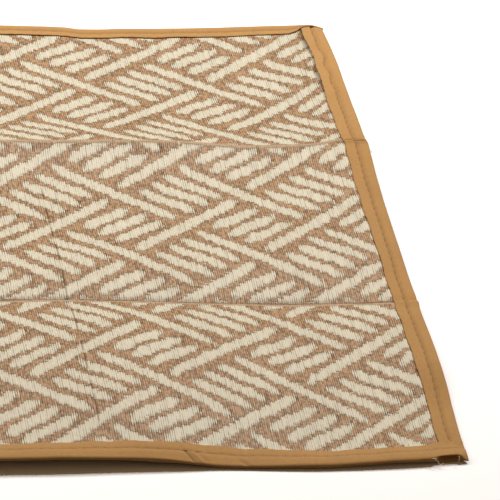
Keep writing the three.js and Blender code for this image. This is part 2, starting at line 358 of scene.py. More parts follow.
class Wire:
    """A number or a colour in a node tree. Arithmetic on it adds nodes to the tree."""

    def __init__(self, nodes: "Nodes", socket: Socket) -> None:
        """Holds one socket of the tree that nodes adds to."""
        self.nodes = nodes
        self.socket = socket

    def __add__(self, other: object) -> "Wire":
        """The sum."""
        return self.nodes.math("ADD", self, other)

    def __mul__(self, other: object) -> "Wire":
        """The product."""
        return self.nodes.math("MULTIPLY", self, other)

    def __sub__(self, other: object) -> "Wire":
        """The difference."""
        return self.nodes.math("SUBTRACT", self, other)

    def __rsub__(self, other: object) -> "Wire":
        """A plain number less this one."""
        return self.nodes.math("SUBTRACT", other, self)

    def __truediv__(self, other: object) -> "Wire":
        """The quotient."""
        return self.nodes.math("DIVIDE", self, other)

    def __abs__(self) -> "Wire":
        """The number without its sign."""
        return self.nodes.math("ABSOLUTE", self)

    def low(self, other: object) -> "Wire":
        """The lower of this and another."""
        return self.nodes.math("MINIMUM", self, other)

    def top(self, other: object) -> "Wire":
        """The higher of this and another."""
        return self.nodes.math("MAXIMUM", self, other)

    def below(self, limit: float) -> "Wire":
        """1 where this is below the limit, and 0 elsewhere."""
        return self.nodes.math("LESS_THAN", self, limit)

    def whole(self) -> "Wire":
        """The whole number at or under this one."""
        return self.nodes.math("FLOOR", self)

    def wrap(self, high: float, low: float) -> "Wire":
        """This number, wrapped round into the range from low to high."""
        return self.nodes.math("WRAP", self, high, low)

    def ramp(self, low: float, high: float, start: object = 0.0, end: object = 1.0) -> "Wire":
        """Goes softly from start, where this is low, to end, where it is high."""
        node = self.nodes.add("ShaderNodeMapRange", interpolation_type="SMOOTHSTEP")
        return self.nodes.feed_row(node, (self, low, high, start, end))

    def fade(self, low: float, high: float) -> "Wire":
        """Goes softly from 1, where this is low, to 0, where it is high."""
        return self.ramp(low, high, 1.0, 0.0)


class Nodes:
    """Adds the nodes of one tree and links them."""

    def __init__(self, tree: bpy.types.NodeTree) -> None:
        """Works in the given tree."""
        self.tree = tree

    def add(self, kind: str, **settings: object) -> bpy.types.Node:
        """Adds a node and sets its own properties."""
        node = self.tree.nodes.new(kind)
        for name, value in settings.items():
            setattr(node, name, value)
        return node

    def feed(self, socket: Socket, value: object) -> None:
        """Links a socket to a wire, or sets it to a constant."""
        if isinstance(value, Wire):
            self.tree.links.new(value.socket, socket)
        else:
            socket.default_value = value

    def feed_row(self, node: bpy.types.Node, values: Sequence[object]) -> Wire:
        """Feeds a node's inputs in their order and returns its first output."""
        for socket, value in zip(node.inputs, values):
            self.feed(socket, value)
        return Wire(self, node.outputs[0])

    def feed_named(self, node: bpy.types.Node, values: Mapping[str, object]) -> None:
        """Feeds a node's inputs by their names."""
        for name, value in values.items():
            self.feed(node.inputs[name], value)

    def math(self, operation: str, *values: object) -> Wire:
        """Adds one step of arithmetic and returns its result."""
        return self.feed_row(self.add("ShaderNodeMath", operation=operation), values)

    def blend(self, factor: object, first: object, second: object, mode: str = "MIX") -> Wire:
        """Mixes two colours."""
        node = self.add("ShaderNodeMix", data_type="RGBA", blend_type=mode)
        for number, value in ((0, factor), (6, first), (7, second)):
            self.feed(node.inputs[number], value)
        return Wire(self, node.outputs[2])

    def shade(self, colour: object, amount: object) -> Wire:
        """Multiplies a colour by a plain number."""
        grey = self.feed_row(self.add("ShaderNodeCombineColor"), [amount] * 3)
        return self.blend(1.0, colour, grey, "MULTIPLY")

    def vector(self, place: Sequence[object]) -> Wire:
        """Puts up to three numbers together as a place."""
        return self.feed_row(self.add("ShaderNodeCombineXYZ"), place)

    def split(self, place: Socket) -> list[Wire]:
        """Takes a place apart into its three numbers."""
        node = self.add("ShaderNodeSeparateXYZ")
        self.tree.links.new(place, node.inputs[0])
        return [Wire(self, output) for output in node.outputs]

    def noise(self, place: Sequence[object], scale: float = 1.0, detail: float = 1.0) -> Wire:
        """Soft noise from 0 to 1."""
        node = self.add("ShaderNodeTexNoise", noise_dimensions="3D")
        self.feed_named(node, {"Vector": self.vector(place), "Scale": scale, "Detail": detail})
        return Wire(self, node.outputs["Fac"])

    def chance(self, place: Sequence[object]) -> Wire:
        """A number from 0 to 1 that is new at every whole place."""
        node = self.add("ShaderNodeTexWhiteNoise", noise_dimensions="3D")
        self.feed(node.inputs["Vector"], self.vector(place))
        return Wire(self, node.outputs["Value"])

    def cloth_place(self, uv_map: str) -> tuple[Wire, Wire]:
        """The place on one of the cloth's maps, along both its sides, in millimetres."""
        across, along, _ = self.split(self.add("ShaderNodeUVMap", uv_map=uv_map).outputs[0])
        return across * (1 / MM), along * (1 / MM)

    def object_place(self) -> list[Wire]:
        """The place on the object itself, in millimetres."""
        place = self.add("ShaderNodeTexCoord").outputs["Object"]
        return [part * (1 / MM) for part in self.split(place)]


# The maps: the place on the flat cloth, how far behind the ridge's and the valley's creases it is,
# the place along the tape's sewn line and inside of it, and how deep it is in a pressed fold
CLOTH_UV = "Cloth"
CREASE_UV = "Creases"
SEAM_UV = "Sewn line"
FOLD_UV = "Pressed folds"
NO_SEAM = -50.0


class Effect:
    """A node group with named inputs and outputs, built once and placed where it is needed."""

    name = ""
    inputs: Mapping[str, float] = {}
    outputs: Sequence[str] = ()

    def draw(self, nodes: Nodes, given: Mapping[str, Wire]) -> dict[str, Wire]:
        """Adds the group's own nodes.

        Args:
            nodes: The group's tree.
            given: The group's inputs by name.

        Returns:
            What each output shows.
        """
        raise NotImplementedError

    def tree(self) -> bpy.types.NodeTree:
        """The group's tree, made the first time that it is asked for."""
        made = bpy.data.node_groups.get(self.name)
        if made:
            return made
        tree = bpy.data.node_groups.new(self.name, "ShaderNodeTree")
        for name, value in self.inputs.items():
            socket = tree.interface.new_socket(
                name=name, in_out="INPUT", socket_type="NodeSocketFloat")
            socket.default_value = value
        for name in self.outputs:
            tree.interface.new_socket(name=name, in_out="OUTPUT", socket_type="NodeSocketFloat")
        nodes = Nodes(tree)
        entry = nodes.add("NodeGroupInput")
        leave = nodes.add("NodeGroupOutput")
        given = {socket.name: Wire(nodes, socket) for socket in entry.outputs if socket.name}
        nodes.feed_named(leave, self.draw(nodes, given))
        return tree

    def put(self, nodes: Nodes, **values: object) -> dict[str, Wire]:
        """Places the group in a tree.

        Args:
            nodes: The tree to place it in.
            values: Its inputs, by their names in lower case with underscores.

        Returns:
            Its outputs by name.
        """
        node = nodes.add("ShaderNodeGroup", node_tree=self.tree())
        nodes.feed_named(node, {name.replace("_", " ").capitalize(): value
                                for name, value in values.items()})
        return {socket.name: Wire(nodes, socket) for socket in node.outputs}


class Strands(Effect):
    """Where a place lies among straws or yarns that lie side by side."""

    name = "Strands"
    inputs = {"Across": 0.0, "Along": 0.0, "Pitch": 1.0, "Wander length": 30.0}
    outputs = ("Index", "Centre", "Offset", "Own tone", "Wander", "Groove tone")

    def draw(self, nodes: Nodes, given: Mapping[str, Wire]) -> dict[str, Wire]:
        """Numbers the strands and gives each its own tone and its own wander."""
        strand = given["Across"] / given["Pitch"]
        index = strand.whole()
        reach = given["Along"] / given["Wander length"]
        line = nodes.math("ROUND", strand)
        return {
            "Index": index,
            "Centre": (index + 0.5) * given["Pitch"],
            "Offset": (strand - index) * 2.0 - 1.0,
            "Own tone": nodes.chance((index, 3.0, 1.0)),
            "Wander": nodes.noise((index * 7.31, reach)),
            "Groove tone": nodes.noise((line * 5.17, reach, 9.0)),
        }


class WovenBar(Effect):
    """How deep a place lies inside one bar of the lattice, in every repeat of it."""

    name = "Woven bar"
    inputs = {"Across": 0.0, "Along": 0.0, "Side": 0.0, "Shift": 0.0, "Swell": 0.0,
              "Start across": 0.0, "Start along": 0.0, "Length": 40.0, "Slope": 0.6,
              "Half height": 5.0}
    outputs = ("Depth", "Loose end")
    taper_length = 6.5
    taper_by = 2.2
    tip_gap = 3.4
    loose_reach = 4.2
    weft_pull = 0.75

    def draw(self, nodes: Nodes, given: Mapping[str, Wire]) -> dict[str, Wire]:
        """Wraps the place into the bar's own repeat and measures it from the bar's edges.

        Each straw's float starts and ends near a whole weft. At the bar's ends the floats are
        short and stand apart.
        """
        along = given["Along"]
        way = (given["Across"] - given["Start across"]).wrap(REPEAT_ACROSS, 0.0)
        over = along - given["Start along"] - (way * given["Slope"] + given["Shift"])
        off = over.wrap(REPEAT_ALONG / 2, -REPEAT_ALONG / 2)
        end = way.low(given["Length"] - way)
        taper = end.fade(-0.5, self.taper_length)
        half = given["Half height"] + given["Swell"] + taper * -self.taper_by
        middle = along - off
        side = (self.to_weft(nodes, middle + half) - along).low(
            along - self.to_weft(nodes, middle - half))
        apart = given["Side"] * given["Side"] * taper * self.tip_gap
        return {
            "Depth": (side - apart).low(end * 8.0 + 0.8),
            "Loose end": (end.ramp(-self.loose_reach, -0.2) * end.below(1.0)
                          * abs(off).fade(3.0, 7.5)),
        }

    def to_weft(self, nodes: Nodes, edge: Wire) -> Wire:
        """Pulls a bar's edge most of the way to the nearest weft."""
        nearest = nodes.math("SNAP", edge + WEFT_PITCH / 2, WEFT_PITCH)
        return (nearest - edge) * self.weft_pull + edge


@dataclass(frozen=True)
class Bar:
    """One bar of the lattice, from its left end to its right one, in millimetres."""

    across: float
    along: float
    to_across: float
    to_along: float
    height: float = 11.2


class LatticeOfBars(Effect):
    """The lattice: long bars that cross, and three short ones side by side in each opening."""

    name = "Lattice of bars"
    inputs = {"Across": 0.0, "Along": 0.0, "Side": 0.0, "Shift": 0.0, "Swell": 0.0}
    outputs = ("Depth", "Loose end")
    bars = (
        Bar(-6.5, -2.5, 87.0, 64.0, 12.3),
        Bar(46.5, 21.5, 138.5, -44.5, 12.0),
        Bar(8.5, -9.0, 50.0, -34.5, 11.8),
        Bar(20.0, 0.5, 63.0, -25.0, 12.0),
        Bar(32.0, 10.0, 74.5, -15.5, 11.6),
        Bar(61.0, 28.0, 101.5, 52.0, 11.8),
        Bar(72.5, 18.5, 115.0, 43.0, 11.8),
        Bar(84.0, 9.5, 126.0, 33.5, 11.4),
    )

    def draw(self, nodes: Nodes, given: Mapping[str, Wire]) -> dict[str, Wire]:
        """Lays the bars out and keeps the deepest."""
        shown: dict[str, Wire] = {}
        own = {name.lower(): given[name] for name in self.inputs}
        for bar in self.bars:
            length = bar.to_across - bar.across
            one = WovenBar().put(
                nodes, **own, start_across=bar.across, start_along=bar.along, length=length,
                half_height=bar.height / 2, slope=(bar.to_along - bar.along) / length)
            shown = {name: shown[name].top(one[name]) if shown else one[name]
                     for name in self.outputs}
        return shown


class PressedCrease(Effect):
    """An old crease across the straws: a plain band, a thin line of painted shade, a pale band of
    whitened straw with a painted highlight, and gaps between the straws painted as shade.
    """

    name = "Pressed crease"
    inputs = {"Across": 0.0, "Off": 0.0, "Ragged": 0.0, "Low": -1.0, "High": 2.0, "Line at": 0.0,
              "Pale at": 0.5, "Pale width": 0.8, "Gaps at": 3.0}
    outputs = ("Outside", "Line", "Pale", "Gaps")
    line_width = 1.5
    gaps_width = 2.7

    def draw(self, nodes: Nodes, given: Mapping[str, Wire]) -> dict[str, Wire]:
        """Measures the place from the crease, which wavers a little."""
        waver = nodes.noise((given["Across"] * 0.035,), 1.0, 2.0)
        off = (waver - 0.5) * 1.1 + given["Off"]
        high = given["Ragged"] * 1.5 + given["High"]
        low = given["Ragged"] * 0.5 + given["Low"]

        def near(place: Wire, width: object) -> Wire:
            """1 at the place, and softly to 0 at the width from it."""
            return (abs(off - place) / width).fade(0.35, 1.0)

        return {
            "Outside": (low - off).top(off - high),
            "Line": near(given["Line at"], self.line_width),
            "Pale": near(given["Pale at"], given["Pale width"]),
            "Gaps": near(given["Gaps at"], self.gaps_width),
        }


class UnevenTone(Effect):
    """A slow change of tone over a surface, around 1."""

    name = "Uneven tone"
    inputs = {"X": 0.0, "Y": 0.0, "Z": 0.0, "Size": 40.0, "Strength": 0.1}
    outputs = ("Tone",)

    def draw(self, nodes: Nodes, given: Mapping[str, Wire]) -> dict[str, Wire]:
        """Reads soft noise of the given size."""
        noise = nodes.noise([given[axis] / given["Size"] for axis in "XYZ"], 1.0, 3.0)
        return {"Tone": (noise - 0.5) * given["Strength"] + 1.0}


class FineTwill(Effect):
    """A fine cotton twill: slanting ridges, each broken into yarns."""

    name = "Fine twill"
    inputs = {"X": 0.0, "Y": 0.0, "Pitch": 0.9}
    outputs = ("Height", "Slub")

    def draw(self, nodes: Nodes, given: Mapping[str, Wire]) -> dict[str, Wire]:
        """Crosses a slanting wave with a finer one the other way."""
        slant = (given["X"] + given["Y"]) / given["Pitch"]
        counter = (given["X"] - given["Y"]) / given["Pitch"]
        wobble = nodes.noise((given["X"], given["Y"]), 0.35, 2.0)
        ridge = nodes.math("SINE", slant * math.tau + wobble * 3.0)
        yarn = nodes.math("SINE", counter * (1.7 * math.tau))
        return {
            "Height": ridge * 0.35 + yarn * 0.15 + 0.5,
            "Slub": nodes.noise((slant * 0.4, counter * 2.2), 1.0, 2.0),
        }


class SewnLine(Effect):
    """Painted shade on the line where a tape is sewn through, in its needle holes and on the cloth
    just outside it.
    """

    name = "Sewn line"
    inputs = {"Along": 0.0, "Inside": 0.0, "Dashed": 0.0}
    outputs = ("Shade",)
    depths = {"line": (0.34, -0.20), "spot": (0.45, -0.25), "beside": (0.16, -0.12)}

    def draw(self, nodes: Nodes, given: Mapping[str, Wire]) -> dict[str, Wire]:
        """Paints shade on the line between the holes, in the holes themselves and on the cloth
        outside them.

        Each depth is how dark that part is, and how much that changes on a dashed line.
        """
        part = given["Along"].wrap(STITCH_PITCH, 0.0)
        hole = part.low(STITCH_PITCH - part)
        waver = nodes.noise((given["Along"] * 0.30,))
        off = (waver - 0.5) * 0.9 + given["Inside"]
        away = abs(off + 0.1)
        drawn = (hole.ramp(0.9, 1.7, 0.35, 1.0) - 1.0) * given["Dashed"] + 1.0
        shapes = {
            "line": away.fade(0.30, 1.05) * drawn,
            "spot": hole.fade(0.35, 0.95) * away.fade(0.35, 0.95),
            "beside": off.ramp(-4.2, -0.6) * off.fade(-0.4, 0.2),
        }
        dark = {name: shape * (given["Dashed"] * self.depths[name][1] + self.depths[name][0])
                for name, shape in shapes.items()}
        return {"Shade": 1.0 - dark["line"].top(dark["spot"]).top(dark["beside"])}


@dataclass(frozen=True)
class Finish:
    """A material's name and its plain values, with a method that draws its nodes."""

    name: str
    roughness: float

    def start(self) -> tuple[bpy.types.Material, Nodes, bpy.types.Node]:
        """A new material, its nodes and its Principled shader."""
        material = bpy.data.materials.new(self.name)
        material.use_nodes = True
        nodes = Nodes(material.node_tree)
        return material, nodes, material.node_tree.nodes["Principled BSDF"]

    @staticmethod
    def bump(nodes: Nodes, shader: bpy.types.Node, height: Wire) -> None:
        """Gives the shader a relief, in millimetres."""
        bump = nodes.add("ShaderNodeBump")
        nodes.feed_named(bump, {"Strength": 1.0, "Distance": MM, "Height": height})
        nodes.feed(shader.inputs["Normal"], Wire(nodes, bump.outputs[0]))


@dataclass(frozen=True)
class StrawFinish(Finish):
    """Flat plastic straws in cream and tan, woven into the lattice of bars.

    The open line is one groove that gapes, painted dark with shade. The pattern spreads a little
    along the front panel. Shade is painted into the grooves, holes and crease lines, and a
    highlight partly into the pale crease bands.
    """

    cream: Colour = (0.600, 0.545, 0.416, 1.0)
    tan: Colour = (0.404, 0.252, 0.138, 1.0)
    # Painted shade in the grooves between straws, over cream and over tan
    cream_groove_shade: Colour = (0.300, 0.238, 0.158, 1.0)
    tan_groove_shade: Colour = (0.115, 0.058, 0.024, 1.0)
    # Painted shade in the gaping gaps at the creases and in the holes where straws dive under
    hollow_shade: Colour = (0.045, 0.028, 0.018, 1.0)
    # Painted shade: the thin dark line along a crease
    fold: Colour = (0.165, 0.085, 0.040, 1.0)
    # The pale crease band: partly whitened straw, partly a painted highlight along the crest
    pressed: Colour = (0.460, 0.330, 0.205, 1.0)
    hole_share: float = 0.28
    loose_share: float = 0.16
    own_tone: float = 0.07
    streaks: float = 0.34
    shift: float = 6.5
    swell: float = 3.5
    overhang: float = 0.33
    own_reach: float = 0.8
    wander_reach: float = 2.6
    crest: float = 0.05
    cream_crest: float = 0.30
    tan_relief: float = 0.5
    groove_depth: float = 0.15
    hole_depth: float = 0.3
    fibre: float = 0.05
    sheen_change: float = 0.16
    open_line: float = MAT_LENGTH - 282.0
    spread_from: float = MAT_LENGTH - 148.0
    spread_reach: float = 260.0
    spread: float = 0.015

    def make(self) -> bpy.types.Material:
        """Draws the material.

        Returns:
            The material.
        """
        material, nodes, shader = self.start()
        across, along = nodes.cloth_place(CLOTH_UV)
        off_ridge, off_valley = nodes.cloth_place(CREASE_UV)
        strands = Strands().put(
            nodes, across=across - TAPE_REACH, along=along, pitch=STRAW_PITCH, wander_length=12.0)
        index, sides = strands["Index"], abs(strands["Offset"])
        bars = self.lattice(nodes, along, strands, sides)
        ragged = strands["Own tone"] * 0.6 + strands["Wander"] - 0.8
        ridge = PressedCrease().put(
            nodes, across=across, off=off_ridge, ragged=ragged, low=-0.4, high=4.0, line_at=-0.9,
            pale_at=1.4, pale_width=3.4, gaps_at=-2.8)
        valley = PressedCrease().put(
            nodes, across=across, off=off_valley, ragged=ragged, low=-5.8, high=2.4, line_at=0.6,
            pale_at=-4.6, pale_width=2.0, gaps_at=4.8)
        outside = ridge["Outside"].low(valley["Outside"])
        depth = self.frayed(strands, bars["Depth"]).low(outside)
        cream_mask = depth.ramp(-0.2, 0.2)
        tan_mask = 1.0 - cream_mask
        inside = abs(depth)
        stroke = nodes.noise((index * 7.31, along * 0.25, 5.0))
        cell = nodes.chance((index, (along / WEFT_PITCH).whole(), 4.0))

        streak = nodes.noise((across * 2.4, along * 0.20), 1.0, 2.0)
        slow = UnevenTone().put(nodes, x=across, y=along, size=70.0, strength=0.10)["Tone"]
        tone = (strands["Own tone"] - 0.5) * self.own_tone + (streak - 0.5) * self.streaks + slow
        # Painted shade: both colours darken near a bar's edge, where the straws dive under; stroke
        # gives the tan straws their own uneven tone
        tan = nodes.shade(self.tan, inside.ramp(0.1, 1.6, 0.74, 1.0) * stroke.ramp(
            0.30, 0.62, 0.55, 1.10))
        cream = nodes.shade(self.cream, inside.ramp(0.0, 1.3, 0.86, 1.0))
        colour = nodes.shade(nodes.blend(cream_mask, tan, cream), tone)
        groove = self.groove(nodes, across, along, strands, sides, tan_mask)
        open_gap = (ridge["Gaps"] * 0.6 + valley["Gaps"]) * strands["Groove tone"].ramp(0.40, 0.60)
        hole = bars["Loose end"] * nodes.math("GREATER_THAN", cell, 1 - self.hole_share)
        hole = hole * tan_mask * sides.ramp(0.25, 0.7)
        # Painted over the straws: shade in the grooves, the pale crease band (whitened straw with a
        # painted highlight), shade in the crease's thin line, gaps and holes, and the loose cream
        # ends
        layers = (
            (groove, nodes.blend(cream_mask, self.tan_groove_shade, self.cream_groove_shade)),
            ((ridge["Pale"] + valley["Pale"]) * 0.80, self.pressed),
            (ridge["Line"] * 0.25 + valley["Line"] * 0.90, self.fold),
            (open_gap * sides.ramp(0.30, 0.85) * (cream_mask * 0.3 + 0.3), self.hollow_shade),
            (hole * 0.8, self.hollow_shade),
            (bars["Loose end"] * cell.below(self.loose_share) * sides.ramp(0.75, 0.4), self.cream),
        )
        for amount, over in layers:
            colour = nodes.blend(amount, colour, over)

        dome = 1.0 - nodes.math("POWER", inside.ramp(2.8, 0.0), 2.0)
        fibre = nodes.noise((across * 6.0, along * 0.25), 1.0, 2.0)
        height = fibre * self.fibre + dome * (cream_mask * self.cream_crest + self.crest)
        height = height + stroke * tan_mask * self.tan_relief
        self.bump(nodes, shader, height - groove * self.groove_depth - hole * self.hole_depth)
        nodes.feed_named(shader, {
            "Base Color": colour, "Roughness": streak * self.sheen_change + self.roughness,
            "Specular IOR Level": 0.3})
        return material

    def lattice(self, nodes: Nodes, along: Wire, strands: Mapping[str, Wire],
                sides: Wire) -> dict[str, Wire]:
        """Places the lattice of bars, which drifts a little from straw to straw.

        Args:
            nodes: The material's tree.
            along: The place along the straws.
            strands: What the straws' group puts out.
            sides: 0 in the middle of a straw, 1 at its edge.

        Returns:
            What the lattice's group puts out.
        """
        start = MAT_LENGTH - LATTICE_FROM_RIGHT - TAPE_REACH
        reach = (strands["Centre"] - self.spread_from).top(-self.spread_reach)
        spread = reach * along.ramp(60.0, 260.0, self.spread, 0.0)
        drift = (strands["Index"] * 0.21, along * 0.05)
        return LatticeOfBars().put(
            nodes, across=strands["Centre"] - start - spread, along=along - LATTICE_ALONG,
            side=sides, shift=(nodes.noise(drift) - 0.5) * self.shift,
            swell=(nodes.noise(drift, 1.7) - 0.5) * self.swell)

    def frayed(self, strands: Mapping[str, Wire], depth: Wire) -> Wire:
        """Gives each straw's float its own length and a rounded tip.

        Args:
            strands: What the straws' group puts out.
            depth: The depth inside the bars.

        Returns:
            The depth with frayed edges.
        """
        uneven = (strands["Own tone"] - 0.5) * self.own_reach
        short = (strands["Wander"] - 0.5) * self.wander_reach
        tip = strands["Offset"] * strands["Offset"]
        return depth + self.overhang + uneven + short - tip

    def groove(self, nodes: Nodes, across: Wire, along: Wire, strands: Mapping[str, Wire],
               sides: Wire, tan_mask: Wire) -> Wire:
        """How far a place lies in a groove between straws, some of which gape. The material paints
        shade into the groove and also sinks it.

        Args:
            nodes: The material's tree.
            across: The place across the straws.
            along: The place along them.
            strands: What the straws' group puts out.
            sides: 0 in the middle of a straw, 1 at its edge.
            tan_mask: 1 where the tan straws show.

        Returns:
            The groove's strength, from 0 to 1.
        """
        line = nodes.math("ROUND", (across - TAPE_REACH) / STRAW_PITCH)
        every_six = nodes.math("FLOORED_MODULO", line, 6.0).below(0.5)
        spread = every_six * 0.12 + strands["Groove tone"]
        amount = spread.ramp(0.44, 0.74, 0.10, 0.95).top(
            tan_mask * strands["Groove tone"].ramp(0.36, 0.62, 0.15, 0.95))
        part = abs(across - self.open_line).ramp(0.75, 0.35) * along.ramp(30.0, 40.0) * along.ramp(
            350.0, 338.0)
        broken = nodes.noise((0.0, along * 0.06))
        return (sides.ramp(0.56, 1.0) * amount).top(part * broken.ramp(0.40, 0.50))


@dataclass(frozen=True)
class CottonFinish(Finish):
    """Golden tan cotton tape, a fine twill, with painted shade along its sewn line and in its
    pressed folds, and painted light that brightens it towards the back.
    """

    colour: Colour = (0.411, 0.223, 0.075, 1.0)
    dashed: bool = False
    twill_pitch: float = 0.95
    slow_tone: float = 0.16
    fast_tone: float = 0.22
    weave_tone: float = 0.16
    back_light_gain: float = 1.12
    fold_shade: float = 0.50
    twill_height: float = 0.10
    fuzz_height: float = 0.07

    def make(self) -> bpy.types.Material:
        """Draws the material.

        Returns:
            The material.
        """
        material, nodes, shader = self.start()
        along, over = nodes.cloth_place(CLOTH_UV)
        twill = FineTwill().put(nodes, x=along, y=over, pitch=self.twill_pitch)
        slow = UnevenTone().put(
            nodes, x=along, y=over, size=22.0, strength=self.slow_tone)["Tone"]
        fast = UnevenTone().put(
            nodes, x=along, y=over, z=3.0, size=2.6, strength=self.fast_tone)["Tone"]
        # Painted shade along the sewn line, in its needle holes and on the cloth outside it
        sewn_line_shade = SewnLine().put(nodes, along=along, inside=nodes.cloth_place(SEAM_UV)[1],
                              dashed=float(self.dashed))["Shade"]
        # Painted light: the tape grows lighter towards the back, where the light comes from
        painted_back_light = nodes.object_place()[1].ramp(20.0, 240.0, 1.0, self.back_light_gain)
        # Painted shade in the troughs of the pressed wrinkles
        pressed = nodes.cloth_place(FOLD_UV)[0].ramp(0.05, 0.9, 1.0, self.fold_shade)
        least = 1.0 - self.weave_tone / 2
        weave = twill["Height"] * self.weave_tone + least
        weave = weave * (twill["Slub"] * self.weave_tone + least)
        colour = nodes.shade(self.colour, slow * fast * weave * sewn_line_shade * painted_back_light * pressed)
        fuzz = nodes.noise((along, over), 5.0, 3.0)
        self.bump(nodes, shader, twill["Height"] * self.twill_height + fuzz * self.fuzz_height)
        nodes.feed_named(shader, {
            "Base Color": colour, "Roughness": self.roughness, "Specular IOR Level": 0.2,
            "Sheen Weight": 0.15, "Sheen Roughness": 0.5})
        return material


@dataclass(frozen=True)
class ThreadFinish(Finish):
    """Twisted sewing thread."""

    colour: Colour = (0.440, 0.245, 0.095, 1.0)

    def make(self) -> bpy.types.Material:
        """Draws the material.

        Returns:
            The material.
        """
        material, nodes, shader = self.start()
        x, y, z = nodes.object_place()
        twist = FineTwill().put(nodes, x=x, y=y, pitch=0.5)["Height"]
        tone = UnevenTone().put(nodes, x=x, y=y, z=z, size=6.0, strength=0.3)["Tone"]
        self.bump(nodes, shader, twist * 0.08)
        nodes.feed_named(shader, {
            "Base Color": nodes.shade(self.colour, tone * (twist * 0.3 + 0.85)),
            "Roughness": self.roughness, "Specular IOR Level": 0.3})
        return material


def link(name: str, data: bpy.types.ID) -> bpy.types.Object:
    """Makes an object of some data and links it to the scene.

    Args:
        name: The object's name.
        data: Its mesh, its light or its camera.

    Returns:
        The object.
    """
    made = bpy.data.objects.new(name, data)
    bpy.context.scene.collection.objects.link(made)
    return made


def link_mesh(name: str, bm: bmesh.types.BMesh) -> bpy.types.Object:
    """Makes a smooth object of a mesh and links it to the scene.

    Args:
        name: The object's name and its mesh's.
        bm: The mesh, which is freed.

    Returns:
        The object.
    """
    mesh = bpy.data.meshes.new(name)
    bm.to_mesh(mesh)
    bm.free()
    mesh.polygons.foreach_set("use_smooth", np.ones(len(mesh.polygons), bool))
    return link(name, mesh)


def lay_grid(bm: bmesh.types.BMesh, columns: int, rows: int, level: float = 0.0) -> None:
    """Adds a flat grid over the unit square, whose faces look up.

    Args:
        bm: The mesh to add it to.
        columns: How many faces it has one way.
        rows: How many faces it has the other way.
        level: Its height, which tells one layer from another.
    """
    bmesh.ops.create_grid(
        bm, x_segments=columns, y_segments=rows, size=0.5,
        matrix=Matrix.Translation((0.5, 0.5, level)))


def cloth_object(name: str, bm: bmesh.types.BMesh,
                 shape: Callable[[Array], tuple[Array, dict[str, Array]]]) -> bpy.types.Object:
    """Makes an object of a grid mesh, moves its points onto the cloth and gives it its maps.

    Args:
        name: The piece's name.
        bm: The mesh, which is freed.
        shape: Gives, for the grid's own points, shape (n, 3), their places in metres and their
            places on each map in millimetres, shape (n, 2).

    Returns:
        The object, linked to the scene.
    """
    made = link_mesh(name, bm)
    mesh = made.data
    flat = np.empty(len(mesh.vertices) * 3, np.float32)
    mesh.vertices.foreach_get("co", flat)
    points, maps = shape(flat.reshape(-1, 3).astype(float))
    mesh.vertices.foreach_set("co", points.astype(np.float32).ravel())
    corners = np.empty(len(mesh.loops), np.int32)
    mesh.loops.foreach_get("vertex_index", corners)
    for title, places in maps.items():
        uv = mesh.uv_layers.new(name=title)
        uv.data.foreach_set("uv", (places[corners] * MM).astype(np.float32).ravel())
    mesh.update()
    return made


def settle(piece: bpy.types.Object, material: bpy.types.Material,
           node: str | None = None) -> None:
    """Dresses a piece, attaches it to the root body and hides the solid that it stands for.
    """
    piece.data.materials.append(material)
    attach(piece, "root")
    if node:
        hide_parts(node)
    LOG.info("%s: %d faces, %s", piece.name, len(piece.data.polygons), material.name)


